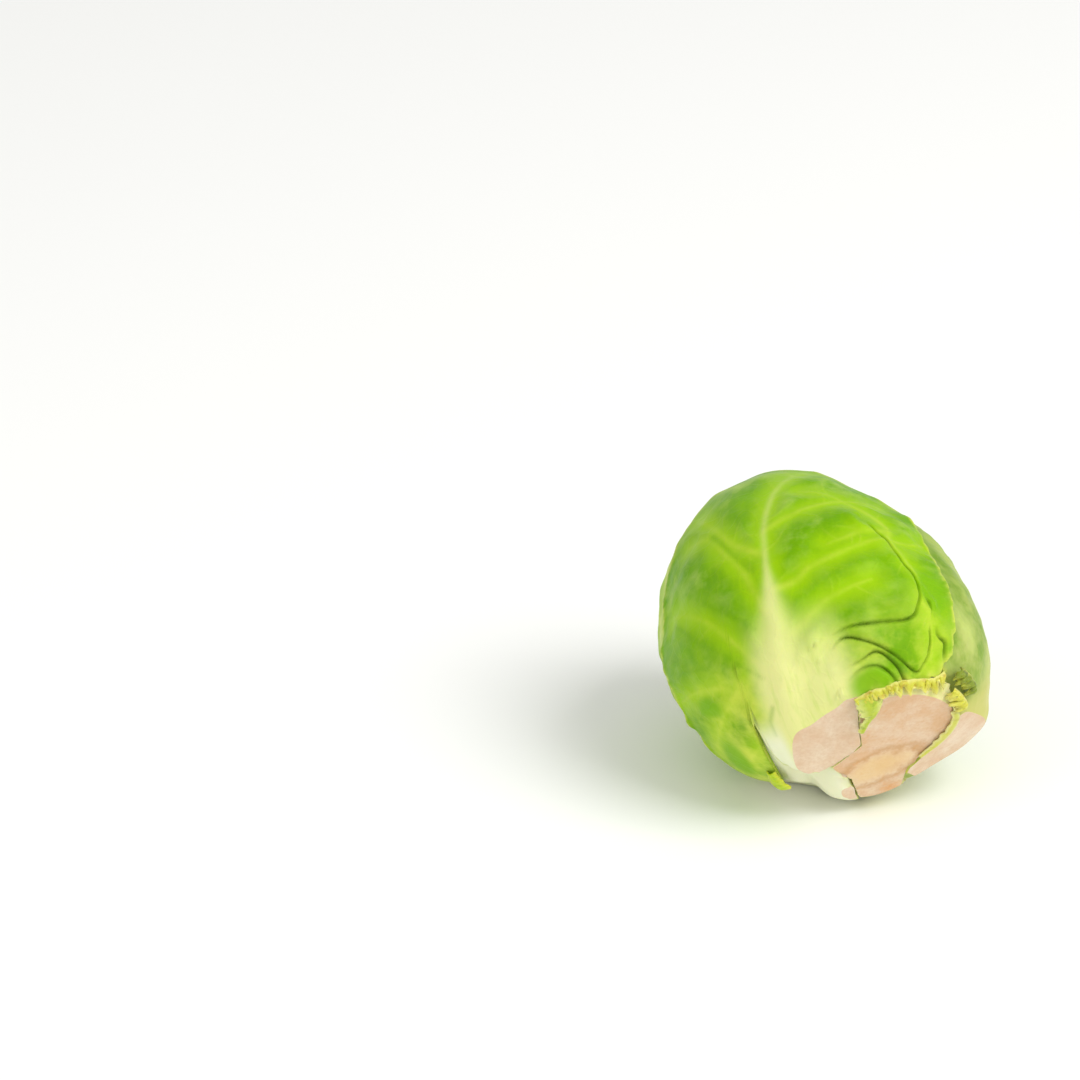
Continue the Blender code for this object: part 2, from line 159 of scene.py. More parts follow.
def distance_to_line(t, s, line):
    """How far each point lies from a line on the leaf, in mm, and on which side of it."""
    narrow = np.cos(np.radians(s))
    nearest = np.full(len(t), FAR)
    side = np.ones(len(t))
    for (t0, s0), (t1, s1) in zip(line, line[1:]):
        run = np.stack([np.full(len(t), (s1 - s0) * ARC), (t1 - t0) * ARC * narrow])
        step = np.stack([(s - s0) * ARC, (t - t0) * ARC * narrow])
        share = np.clip((run * step).sum(0) / (run * run).sum(0), 0.0, 1.0)
        away = np.hypot(*(step - share * run))
        turn = np.sign(run[0] * step[1] - run[1] * step[0])
        closer = away < nearest
        nearest = np.where(closer, away, nearest)
        side = np.where(closer, turn, side)
    return nearest, side


def smooth_line(line, steps=4):
    """The same line with its corners rounded: points on a curve that passes through every given one."""
    line = np.array(line)
    ends = np.vstack([2.0 * line[0] - line[1], line, 2.0 * line[-1] - line[-2]])
    curve = []
    for before, start, end, after in zip(ends, ends[1:], ends[2:], ends[3:]):
        for u in np.arange(steps) / steps:
            bend = 2.0 * before - 5.0 * start + 4.0 * end - after
            twist = 3.0 * start - before - 3.0 * end + after
            curve.append(start + 0.5 * ((end - before) * u + bend * u**2 + twist * u**3))
    return [*map(tuple, curve), tuple(line[-1])]


def lay_lines(t, s, lines):
    """The strength of a set of tapering lines at each point, and the distance to the nearest one."""
    strength = np.zeros(len(t))
    nearest = np.full(len(t), FAR)
    narrow = np.cos(np.radians(s))
    for line, wide, thin, strong in lines:
        count = len(line) - 1
        for index, ((t0, s0), (t1, s1)) in enumerate(zip(line, line[1:])):
            run_across = (s1 - s0) * ARC
            run_up = (t1 - t0) * ARC * narrow
            across = (s - s0) * ARC
            up = (t - t0) * ARC * narrow
            length = run_across**2 + run_up**2 + TINY
            share = np.clip((run_across * across + run_up * up) / length, 0.0, 1.0)
            away = np.hypot(across - share * run_across, up - share * run_up)
            along = (index + share) / count
            width = wide + (thin - wide) * along
            here = strong * (1.0 - LINE_FADE * along) * np.exp(-((away / width) ** 2))
            strength = np.maximum(strength, here)
            nearest = np.minimum(nearest, away)
    return strength, nearest


# %% [markdown]
# ## One wrapper leaf
# A leaf is thick and pale where it joins the stalk, and thins to a soft blade at its margin.
# The real one could be a subdivided patch that is sculpted by hand. Here a leaf is an object
# that knows its outline and answers questions for any direction: whether it covers it, how
# thick it is, and how its surface rises and falls. The leaves below it ask the same
# questions, so each leaf beds down on the next with no gap and no crossing.

# %% The leaf and its outline
GAP = 0.12
BLADE = 0.42
RIB_THICK = 1.5
RIB_WIDTH = 11.0
RIB_NARROWING = 0.55
RIB_THINNING = 0.85
BASE_FLESH = 1.6
FLESH_SPANS = {"leaf_front": (1.0, 16.0, 22.5), "leaf_right": (4.0, 24.0, 33.0)}
PLAIN_FLESH_SPAN = (0.0, 12.0, 18.0)
FLESH_ENDS = (42.0, 26.0)
RIB_NARROWS = (30.0, 100.0)
RIB_RISES = (8.0, 16.0)
RIB_THINS = (38.0, 108.0)
FRONT_PALE_TO = 84.0
PLAIN_PALE_TO = 66.0
OVERLAP_RAMP = 5.0
OVERLAP_MARGIN = 0.9
LEAF_TURN = 137.5
FIRST_LEAF = -36.0
LEAF_LEAN = 15.0
WIDE = 74.0
LOW_BLUR = 14.0
SIDE_LOW = 76.0
SIDE_HIGH = 108.0
ROUNDNESS = 2.6


class Leaf:
    """One wrapper leaf: where its rib runs, its outline, its veins and its creases."""

    def __init__(self, name, turn, low, high, veins, folds=()):
        self.name = name
        self.low = low
        self.high = high
        self.veins = veins
        self.folds = folds
        outermost = name == "leaf_front"
        self.pale_to = FRONT_PALE_TO if outermost else PLAIN_PALE_TO
        self.fold_shade_lines = FRONT_FOLD_SHADE_LINES if outermost else ()
        self.swelling = BELLY_SWELLING if name == "leaf_belly" else ()
        self.flesh_span = FLESH_SPANS.get(name, PLAIN_FLESH_SPAN)
        azimuth = math.radians(turn)
        lean = math.radians(LEAF_LEAN)
        self.out = np.array([math.sin(azimuth), -math.cos(azimuth), 0.0])
        side = [math.cos(azimuth) * math.cos(lean), math.sin(azimuth) * math.cos(lean), -math.sin(lean)]
        self.side = np.array(side)
        self.root = np.cross(self.side, self.out)

    def to_direction(self, t, s):
        t = np.radians(t)
        s = np.radians(s)
        rib = np.outer(np.cos(t), self.root) + np.outer(np.sin(t), self.out)
        return np.cos(s)[:, None] * rib + np.outer(np.sin(s), self.side)

    def to_angles(self, d):
        t = np.degrees(np.arctan2(d @ self.out, d @ self.root))
        s = np.degrees(np.arcsin(np.clip(d @ self.side, -1.0, 1.0)))
        return np.where(t < -90.0, t + 360.0, t), s

    def outline(self):
        return [(along, across) for across, along in [*self.low, *reversed(self.high), self.low[0]]]

    def cover(self, d, margin=OVERLAP_MARGIN, reach=OVERLAP_RAMP):
        """1 over the leaf and just past its margin, easing to 0 further out."""
        t, s = self.to_angles(d)
        away, _ = distance_to_line(t, s, self.outline())
        inside = (s > self.low[0][0]) & (s < self.low[-1][0])
        inside &= (t > np.interp(s, *zip(*self.low))) & (t < np.interp(s, *zip(*self.high)))
        return np.where(inside, 1.0, ramp(away, margin + reach, margin))

    def fleshy(self, t, s):
        """1 in the fleshy base that the knife opened, 0 in the blade."""
        middle, full, gone = self.flesh_span
        return ramp(t, *FLESH_ENDS) * ramp(np.abs(s - middle), gone, full)

    def thickness(self, d):
        """Blade thickness in mm, with the fleshy rib that thins towards the tip."""
        t, s = self.to_angles(d)
        width = RIB_WIDTH * (1.0 - RIB_NARROWING * ramp(t, *RIB_NARROWS))
        rise = ramp(t, *RIB_RISES) * (1.0 - RIB_THINNING * ramp(t, *RIB_THINS))
        return BLADE + RIB_THICK * rise * np.exp(-((s / width) ** 2)) + BASE_FLESH * self.fleshy(t, s)


print("blade, mm:", BLADE, "gap between leaves, mm:", GAP)

# %% [markdown]
# ## Veins
# The outer face of a sprout leaf is its underside, where the veins stand out pale. One rib
# carries side veins that curve towards the tip, and each side vein sends out twigs. They
# could be painted on an image, but lines that are grown by a small rule stay sharp at any
# distance and can lift the surface as well as tint it. The growth is seeded, so every run
# gives the same leaf. The outermost leaf has its own veins, placed one by one.

# %% Growing side veins and twigs
VEIN_WIDE = 0.50
VEIN_THIN = 0.16
TWIG_WIDE = 0.16
TWIG_THIN = 0.07
TWIG_STRENGTH = 0.35
TWIG_STEPS = 5
TWIG_STEP = (0.15, 0.25)
TWIG_TURN = (0.7, 1.2)
TWIG_BEND = 0.25
TWIG_LENGTH = 13.0
TWIG_PLACES = (0.2, 0.35, 0.5, 0.65, 0.8)
VEIN_STRENGTH = 0.85
VEIN_POINTS = 10
VEIN_SCATTER = 4.0
VEIN_SHORTENING = (0.8, 1.0)
VEIN_CLIMB = (0.25, 0.55)
VEIN_BEND = (0.002, 0.006)
VEIN_WOBBLE = 0.6
FRONT_STRENGTH = 0.62
FRONT_SEED = 11


def grow_twigs(rng, line, places, length):
    """Short veins that leave a line on alternate sides and bend back along it."""
    twigs = []
    line = np.array(line, float)
    for number, place in enumerate(places):
        here = place * (len(line) - 1)
        index = min(int(here), len(line) - 2)
        start = line[index] + (line[index + 1] - line[index]) * (here - index)
        heading = math.atan2(*(line[index + 1] - line[index]))
        heading += (1 if number % 2 else -1) * rng.uniform(*TWIG_TURN)
        bend = rng.uniform(-TWIG_BEND, TWIG_BEND)
        points = [start]
        for _ in range(TWIG_STEPS):
            step = length * rng.uniform(*TWIG_STEP)
            points.append(points[-1] + step * np.array([math.sin(heading), math.cos(heading)]))
            heading += bend
        twigs.append((points, TWIG_WIDE, TWIG_THIN, TWIG_STRENGTH))
    return twigs


def grow_veins(seed, first, last, count, reach):
    """Side veins that leave the rib on both sides and climb towards the tip, with twigs."""
    rng = np.random.default_rng(seed)
    lines = []
    for side in (-1.0, 1.0):
        for start in np.linspace(first, last, count) + rng.uniform(-VEIN_SCATTER, VEIN_SCATTER, count):
            s = side * np.linspace(0.0, reach * rng.uniform(*VEIN_SHORTENING), VEIN_POINTS)
            climb = rng.uniform(*VEIN_CLIMB)
            bend = rng.uniform(*VEIN_BEND)
            wobble = rng.normal(0.0, VEIN_WOBBLE, VEIN_POINTS).cumsum() * 0.5
            t = start + climb * np.abs(s) + bend * s**2 + wobble
            line = list(zip(t, s))
            lines.append((line, VEIN_WIDE, VEIN_THIN, VEIN_STRENGTH))
            lines += grow_twigs(rng, line, TWIG_PLACES, TWIG_LENGTH)
    return lines


FRONT_RIB = (
    (12.0, -4.0), (28.0, -6.0), (40.0, -7.5), (50.0, -6.5), (62.0, -4.5), (75.0, -2.5),
    (88.0, -1.5), (103.0, -1.0), (116.0, -0.8), (126.0, 0.5), (138.0, 3.0), (149.0, 7.0), (160.0, 10.0),
)
FRONT_SIDE_VEINS = (
    (
        (88.0, 0.0), (89.0, 8.3), (93.4, 14.3), (98.0, 25.0), (103.0, 35.0), (107.6, 45.0),
        (111.0, 55.0), (120.0, 62.0),
    ),
    ((107.6, 45.0), (97.7, 49.4), (85.1, 52.7), (74.0, 54.8), (61.6, 56.0)),
    ((107.6, 45.0), (119.0, 45.4), (127.0, 38.0), (132.0, 30.5), (136.0, 23.0), (138.0, 12.0)),
    ((114.5, 45.4), (110.6, 34.6), (107.0, 29.3), (103.4, 22.2)),
    ((116.0, 0.0), (122.0, 10.0), (128.0, 20.0), (134.0, 30.0), (140.0, 42.0)),
    ((74.0, 50.5), (61.6, 50.9), (49.1, 46.5), (41.4, 43.7)),
    ((58.0, -8.0), (65.0, -14.0), (73.5, -20.0), (87.4, -31.0), (98.0, -42.0), (107.0, -52.0)),
    ((81.0, -4.7), (92.0, -8.0), (100.5, -11.0), (112.0, -17.0), (126.0, -24.0), (134.0, -34.0)),
    ((47.0, -9.0), (48.2, -16.0), (54.0, -24.0), (58.0, -34.0), (58.0, -43.0), (56.0, -54.0), (48.0, -66.0)),
    ((60.7, -15.8), (52.7, -28.1), (43.2, -37.4), (26.7, -46.2), (8.0, -52.0)),
    ((36.0, -14.0), (30.0, -24.0), (20.0, -33.0), (8.0, -40.0), (-3.0, -44.0)),
    ((104.0, -2.0), (114.0, -12.0), (124.0, -18.0), (138.0, -24.0), (148.0, -28.0)),
    ((70.0, 2.0), (74.0, 10.0), (79.0, 18.0), (82.0, 27.0), (84.0, 35.0)),
    ((52.0, 0.0), (60.0, 7.0), (66.0, 14.0)),
)


# Thin lines of painted shade where the blade was folded over the leaf beneath it
FRONT_FOLD_SHADE_LINES = (
    ((99.6, -51.0), (79.5, -36.3), (71.4, -26.5), (63.2, -18.3), (58.0, -12.0)),
    ((126.0, -21.5), (106.9, -12.4), (97.9, -6.4)),
    ((70.8, -54.8), (68.1, -35.8), (73.6, -27.0)),
    ((96.0, -30.0), (84.0, -18.0), (76.0, -10.0)),
    ((47.0, -12.0), (42.0, -15.0), (36.0, -15.0)),
)


def front_veins():
    """The drawn side veins of the outermost leaf, with grown twigs on them and on its rib."""
    rng = np.random.default_rng(FRONT_SEED)
    lines = [(smooth_line(line), VEIN_WIDE, VEIN_THIN, FRONT_STRENGTH) for line in FRONT_SIDE_VEINS]
    for line in FRONT_SIDE_VEINS:
        lines += grow_twigs(rng, line, (0.3, 0.55, 0.8), 12.0)
    lines += grow_twigs(rng, FRONT_RIB, np.linspace(0.3, 0.95, 14), 16.0)
    return lines


print("lines on the outermost leaf:", len(front_veins()))

# %% [markdown]
# ## The eight wrapper leaves
# Leaves leave a stem one after another, each turned by the golden angle, 137.5 degrees, from
# the last. That rule sets every rib. The outlines are the part's own: a stalk-like base, wide
# free ears beside it on the outer leaves, and a rounded blade that closes over the head. The
# creases are the folds of the crumpled ear: lines with a depth, a width, and the height and
# breadth of the swelling that hangs over them.

# %% Outlines, creases and the list of leaves
RIGHT_LOW = (
    (-74.0, 70.0), (-66.0, 40.0), (-58.0, 18.0), (-50.0, 6.0), (-40.0, 0.0), (-32.0, 3.0), (-27.0, 7.0),
    (-22.5, 10.0), (-19.0, 10.5), (-12.0, 14.0), (-5.0, 15.5), (3.0, 15.0), (12.0, 12.5), (20.0, 12.0),
    (26.0, 14.0), (28.0, 34.0), (34.0, 50.0), (42.0, 66.0), (46.0, 80.0),
)
BELLY_LOW = (
    (-74.0, 82.0), (-66.0, 50.0), (-58.0, 20.0), (-50.0, 8.0), (-36.0, 4.0), (-28.0, 8.0), (-21.0, 20.0),
    (-16.0, 32.0), (-14.0, 28.0), (-12.0, 15.0), (12.5, 15.0), (22.0, 20.0), (30.0, 22.0), (38.0, 26.0),
    (46.0, 34.0), (54.0, 48.0), (64.0, 64.0), (74.0, 82.0),
)
FRONT_LOW = (
    (-70.0, 50.0), (-64.0, 24.0), (-56.0, 2.0), (-46.0, -10.0), (-36.0, -12.0), (-29.0, -8.0),
    (-25.0, -1.0), (-23.4, 10.0), (-22.9, 20.0), (-22.5, 31.0), (-22.0, 41.0), (-21.1, 43.0),
    (-20.7, 38.0), (-20.2, 28.0), (-19.0, 20.0), (-16.0, 13.0), (-11.0, 10.0), (0.0, 13.0),
    (11.0, 17.0), (12.5, 24.0), (14.5, 33.0), (16.0, 40.5), (22.0, 42.0), (28.0, 41.0), (34.0, 39.0),
    (40.0, 34.5), (44.0, 35.0), (48.0, 38.0), (52.0, 37.0), (55.0, 45.0), (60.0, 50.0), (66.0, 70.0),
)
BELLY_SWELLING = ((14.0, 22.0), (26.0, 27.0), (38.0, 31.0), (52.0, 38.0))
SWELLING_HEIGHT = 0.9
SWELLING_REACH = 2.2
FRONT_HIGH = (
    (-70.0, 92.0), (-55.0, 128.0), (-30.0, 156.0), (-10.0, 167.0), (10.0, 168.0), (30.0, 163.0),
    (50.0, 150.0), (60.0, 136.0), (66.0, 112.0),
)
LONG_CREASE = (
    (65.2, 14.0), (66.7, 21.3), (65.8, 28.8), (64.3, 35.4), (63.0, 40.6), (64.1, 45.0), (70.0, 49.5),
    (77.0, 51.5), (86.0, 51.0), (95.0, 48.0), (104.0, 46.0), (113.0, 41.0), (120.0, 37.0),
)
FOLD_CREASE = (
    (60.6, 13.0), (63.5, 20.0), (58.0, 28.0), (51.0, 33.0), (42.0, 37.0), (42.0, 40.0), (46.0, 44.5),
    (58.0, 50.0),
)
LOWER_CREASE = ((53.4, 14.8), (54.3, 21.5), (55.3, 28.0), (48.0, 32.0), (41.0, 32.5), (35.0, 32.2))
LOBE_CREASE = ((48.4, 15.0), (51.5, 20.6), (50.5, 26.4), (45.0, 29.6), (38.0, 30.0))
SHORT_CREASE = ((74.0, 52.5), (67.0, 53.2), (60.0, 52.0))
TORN_CREASE = ((56.0, 52.0), (50.0, 50.5), (45.0, 51.5), (40.0, 49.0), (35.0, 47.0))

# Each crease: its line, then in mm the groove's depth and half width, and the swelling's height,
# its distance from the groove, on the far side where it is negative, and its breadth
FRONT_FOLDS = (
    (smooth_line(LONG_CREASE), 0.70, 0.15, 0.60, 1.1, 1.2),
    (smooth_line(FOLD_CREASE), 0.55, 0.13, 0.45, 0.8, 0.8),
    (smooth_line(LOWER_CREASE), 0.55, 0.13, 0.35, 0.6, 0.6),
    (smooth_line(LOBE_CREASE), 0.45, 0.14, 0.45, -1.0, 1.0),
    (smooth_line(SHORT_CREASE), 0.50, 0.13, 0.30, 0.5, 0.5),
    (smooth_line(TORN_CREASE), 0.45, 0.14, 0.30, 0.6, 0.5),
)
INNER_NAMES = ("leaf_right", "leaf_belly", *[f"leaf_wrap_{number}" for number in range(1, 6)])
TIPS = (188.0, 184.0, 182.0, 176.0, 168.0, 158.0, 148.0)
BASES = (15.0, 15.0, 40.0, 30.0, 50.0, 56.0, 56.0)
OWN_LOW = {"leaf_right": RIGHT_LOW, "leaf_belly": BELLY_LOW}
EDGE_POINTS = 25
VEIN_SEED = 20
VEINS_FROM = 34.0
VEINS_TO = 140.0
VEIN_COUNT = 7
VEIN_REACH = 62.0


def rounded_edge(middle, side, right=WIDE):
    """A limit that runs from its middle value at the rib to its side value at the leaf's widest."""
    across = np.linspace(-WIDE, right, EDGE_POINTS)
    return [(s, middle + (side - middle) * abs(s / WIDE) ** ROUNDNESS) for s in across]


leaves = [Leaf("leaf_front", FIRST_LEAF, FRONT_LOW, FRONT_HIGH, front_veins(), FRONT_FOLDS)]
for place, (name, tip, base) in enumerate(zip(INNER_NAMES, TIPS, BASES), 1):
    low = OWN_LOW.get(name) or rounded_edge(base, SIDE_LOW)
    high = rounded_edge(tip, SIDE_HIGH, low[-1][0])
    veins = grow_veins(VEIN_SEED + place, VEINS_FROM, VEINS_TO, VEIN_COUNT, VEIN_REACH)
    leaves.append(Leaf(name, FIRST_LEAF + LEAF_TURN * place, low, high, veins))
print("leaves, outermost first:", [leaf.name for leaf in leaves])

# %% [markdown]
# ## The surface of a leaf
# Between its veins a real leaf puffs up like a quilt, because the blade grows faster than
# the veins that hold it. So height grows with the distance to the nearest side vein, a low
# ridge follows each vein, and the rib stands out most. Creases cut a narrow groove with a
# swollen lip beside it. The same fields are kept as attributes on the mesh, so that the
# colour can follow the relief exactly.

# %% Relief and the fields that colour reads
RIB_RIDGE = 0.38
PUFF = 0.42
PUFF_REACH = 2.1
VEIN_RIDGE = 0.12
RIPPLE = 0.05
RIDGE_WIDTH = 1.5
RIDGE_ENDS = (150.0, 60.0)
BLADE_STARTS = (30.0, 52.0)
SMOOTH_BELLY = (0.93, 0.78)
RIPPLE_SIZE = 3.0
CREASE_FADE = 2.2
CREASE_WAVER = 3.5
RIB_TINT = 2.4
RIB_TINT_LOSS = 2.0
RIB_TINT_NARROWS = (60.0, 102.0)
RIB_TINT_FAINT = 0.35
RIB_TINT_FADES = (108.0, 84.0)
RIB_TINT_ENDS = (165.0, 130.0)
VEIN_GLOW = 1.7
BASE_FADE = 0.62
BASE_MIDDLE = 1.5
BASE_SIDES = (21.5, 11.5)
PALING_UP = (84.0, 44.0)
PALING_ACROSS = (70.0, 30.0)
PATCH_EDGE = (1.25, 0.55)
NOISE_WAVES = 14
PLAIN_RIB = ((10.0, 0.0), (60.0, 0.5), (110.0, -1.0), (160.0, 2.0))

# Green islands of the outermost leaf: middle (t, s), then half height and half width in degrees
GREEN_PATCHES = (
    (45.5, 23.5, 6.5, 8.5),
    (18.0, -39.0, 15.0, 7.0),
    (49.0, -43.0, 6.0, 8.0),
    (74.0, 57.0, 18.0, 6.0),
)
DARK_WIDE = 0.28
DARK_THIN = 0.20


def soft_noise(x, y, seed, size):
    """Smooth seeded noise between about -1 and 1, with swellings of a given size in mm."""
    rng = np.random.default_rng(seed)
    total = np.zeros(len(x))
    for _ in range(NOISE_WAVES):
        angle = rng.uniform(0.0, 2.0 * math.pi)
        pace = 2.0 * math.pi / (size * rng.uniform(0.7, 1.6))
        total += np.sin((x * math.cos(angle) + y * math.sin(angle)) * pace + rng.uniform(0.0, 2.0 * math.pi))
    return total / math.sqrt(NOISE_WAVES)


def rib_of(leaf):
    return FRONT_RIB if leaf.name == "leaf_front" else PLAIN_RIB


def bleached_base(leaf, t, s):
    """1 on the parts of the two lowest leaf bases that lay in the dark against the stem."""
    if leaf.name == "leaf_front":
        return ramp(t, 45.0, 31.0) * ramp(s, -10.0, -15.0) * ramp(s, -22.4, -21.4)
    if leaf.name == "leaf_belly":
        return ramp(t, 64.0, 44.0)
    return 0.0 * t


def green_patches(leaf, t, s):
    """1 on the puffed green islands of the outermost leaf's pale base."""
    share = 0.0 * t
    if leaf.name == "leaf_front":
        for middle_t, middle_s, tall, wide in GREEN_PATCHES:
            away = np.hypot((t - middle_t) / tall, (s - middle_s) / wide)
            share = np.maximum(share, ramp(away, *PATCH_EDGE))
    return share


def surface_fields(leaf, t, s, seed):
    """Height over the plain form and the named fields from 0 to 1 at points of a leaf."""
    veins, _ = lay_lines(t, s, leaf.veins)
    main_lines = [line for line in leaf.veins if line[1] == VEIN_WIDE]
    _, to_main = lay_lines(t, s, main_lines)
    to_rib, _ = distance_to_line(t, s, rib_of(leaf))
    rib_width = RIB_TINT - RIB_TINT_LOSS * ramp(t, *RIB_TINT_NARROWS)
    strong = RIB_TINT_FAINT + (1.0 - RIB_TINT_FAINT) * ramp(t, *RIB_TINT_FADES)
    rib = np.exp(-((to_rib / rib_width) ** 2)) * strong * ramp(t, *RIB_TINT_ENDS)
    # Painted shade along the lines where the blade folds over the leaf beneath
    dark, _ = lay_lines(t, s, [(line, DARK_WIDE, DARK_THIN, 1.0) for line in leaf.fold_shade_lines])
    x = s * ARC
    y = t * ARC
    away = np.minimum(to_main, np.maximum(to_rib - 0.5 * rib_width, 0.0))
    puff = 1.0 - np.exp(-((away / PUFF_REACH) ** 2))
    on_blade = ramp(t, *BLADE_STARTS)
    height = RIB_RIDGE * np.exp(-((to_rib / RIDGE_WIDTH) ** 2)) * ramp(t, *RIDGE_ENDS)
    height = height + (PUFF * (puff - 0.5) + VEIN_RIDGE * veins) * on_blade
    height = height + RIPPLE * soft_noise(x, y, seed, RIPPLE_SIZE) * on_blade
    crease = np.zeros(len(t))
    for line, depth, half_width, swell, distance, breadth in leaf.folds:
        near, side = distance_to_line(t, s, line)
        ends = [np.hypot((t - end_t) * ARC, (s - end_s) * ARC) for end_t, end_s in (line[0], line[-1])]
        fade = ramp(np.minimum(*ends), 0.0, CREASE_FADE)
        fade = fade * (0.75 + 0.25 * soft_noise(x, y, seed + 9, CREASE_WAVER))
        groove = np.exp(-((near / half_width) ** 2)) * fade
        crease = np.maximum(crease, groove)
        bulge = np.exp(-(((side * near - distance) / breadth) ** 2)) * fade
        height = height - depth * groove + swell * bulge
    fields = {
        "rib": rib,
        "vein": veins,
        "puff": puff,
        "crease": crease,
        "near_vein": np.exp(-((away / VEIN_GLOW) ** 2)),
        "dark": dark,
        "up": np.clip(t / 180.0, 0.0, 1.0),
        "base": ramp(t, leaf.pale_to, BASE_FADE * leaf.pale_to) * ramp(np.abs(s - BASE_MIDDLE), *BASE_SIDES),
        "lowest": bleached_base(leaf, t, s),
        "paling": ramp(t, *PALING_UP) * ramp(np.abs(s), *PALING_ACROSS),
        "patch": green_patches(leaf, t, s),
    }
    return height * ramp(leaf.to_direction(t, s) @ DOWN, *SMOOTH_BELLY), fields


print("puffed panels rise, mm:", PUFF)

# %% [markdown]
# ## Stacking the leaves
# Leaves lie on each other like roof tiles. The outermost one follows the form of the head.
# Each one inside it starts from the same form and sinks by the thickness of every leaf that
# covers it, with a soft ramp where it comes out from under a margin. Nothing has to be
# simulated, and no two leaves can pass through each other.

# %% Levels under the leaves
PLAIN_COUNT = 3
BELLY_DENT = 0.25
FOLD_SINK = 0.9
FOLD_REACH = 0.6
BELLY_FACING = (0.8, 0.95)
PRESSED = 0.8
SWELLING_CLEAR = (0.15, 1.6)


def level_under(d, covering):
    """The radius in mm left for what lies inside these leaves."""
    level = head_form(d)
    for leaf in covering:
        t, s = leaf.to_angles(d)
        room = GAP + 0.5 * PUFF * ramp(t, *BLADE_STARTS)
        for line, depth, *_ in leaf.folds:
            near, _ = distance_to_line(t, s, line)
            room = room + FOLD_SINK * depth * np.exp(-((near / FOLD_REACH) ** 2))
        level = level - leaf.cover(d) * (leaf.thickness(d) + room)
    if len(covering) >= PLAIN_COUNT:
        level = level - BELLY_DENT * ramp(d @ DOWN, *BELLY_FACING)
    return level


def outer_face(leaf, outside, t, s, seed):
    """The radius of a leaf's outer face and its fields."""
    d = leaf.to_direction(t, s)
    height, fields = surface_fields(leaf, t, s, seed)
    covered = np.zeros(len(t))
    for other in outside:
        covered = np.maximum(covered, other.cover(d))
    rise = height * (1.0 - PRESSED * covered) - np.maximum(height, 0.0) * (1.0 - PRESSED) * covered
    if leaf.swelling:
        away, _ = distance_to_line(t, s, leaf.swelling)
        touched = np.max([other.cover(d, *SWELLING_CLEAR) for other in outside], axis=0)
        rise = rise + SWELLING_HEIGHT * np.exp(-((away / SWELLING_REACH) ** 2)) * (1.0 - touched)
    return d, (level_under(d, outside) + rise) * settled(d), fields


on_rib = np.array([direction(80.0, FIRST_LEAF)])
print("sunk under the outermost leaf's rib, mm:", round(float(leaves[0].thickness(on_rib)[0] + GAP), 2))

# %% [markdown]
# ## From formula to mesh
# Each leaf starts as a flat grid whose columns run across it and whose rows climb it. The
# rows crowd together near the base and the columns in the crumpled ear, where the detail is.
# Extruding the whole grid gives the inner face and closes the margin in one step, and then
# every vertex is put in its place. The margin itself thins out and lifts a little, as a
# drying leaf edge does.

# %% Building a leaf
MARGIN_THIN = 0.35
MARGIN_LIFT = 0.28
LIFT_WIDE = 0.8
LIFT_WAVE = 5.0
RIM_WIDE = 0.45
THIN_WIDE = 1.4
LIFT_FACING = (0.6, 0.8)
BLUR_STEPS = 9
ROWS_TO_BASE = 1.2
SHAPE_FADE = 3

# Raggedness of a margin: how far in degrees, then the seed and the size in mm of its waves
FINE_RAG = 0.35
FINE_WAVES = (5, 1.1)
BROAD_RAG = 0.4
BROAD_WAVES = (6, 3.0)
HIGH_RAG = 0.9
HIGH_WAVES = (7, 4.0)
TORN_FROM = (20.0, 28.0)
SHOULDER = 0.9
SHOULDER_WIDE = 0.9
TEAR = 1.1
FRONT_STATIONS = ((-70.0, 0.0), (-10.0, 0.30), (12.0, 0.42), (62.0, 0.94), (66.0, 1.0))
FRONT_GRID = (250, 170)
SIDE_GRID = (190, 150)
BELLY_GRID = (160, 130)
HIDDEN_GRID = (100, 80)


def stations(leaf, share):
    """The angle s at each share of the way across a leaf."""
    if leaf.name == "leaf_front":
        places, shares = zip(*FRONT_STATIONS)
        return np.interp(share, shares, places)
    u = 2.0 * share - 1.0
    left = leaf.low[0][0]
    right = leaf.low[-1][0]
    return left + (right - left) * (0.5 + 0.5 * (0.7 * u + 0.3 * u**3))


def margin_angles(leaf, s):
    """The low and high limits of a leaf at each s, with the fine raggedness of a torn margin."""
    low = np.interp(s, *zip(*leaf.low))
    high = np.interp(s, *zip(*leaf.high))
    torn = TEAR * ramp(s, *TORN_FROM) if leaf.name == "leaf_front" else 0.0 * s
    fine, broad, upper = [
        soft_noise(s * ARC, 0.0 * s, *waves) for waves in (FINE_WAVES, BROAD_WAVES, HIGH_WAVES)
    ]
    return low + (FINE_RAG + torn) * fine + BROAD_RAG * broad, high + HIGH_RAG * upper


def leaf_angles(leaf, share, up):
    """The angles t and s at shares across and up the leaf. The shape of the low margin fades upwards."""
    s = stations(leaf, share)
    low, high = margin_angles(leaf, s)
    shifts = np.linspace(-LOW_BLUR, LOW_BLUR, BLUR_STEPS)
    plain = np.mean([np.interp(s + shift, *zip(*leaf.low)) for shift in shifts], axis=0)
    up = up**ROWS_TO_BASE
    return plain + (high - plain) * up + (low - plain) * (1.0 - up) ** SHAPE_FADE, s, low, high


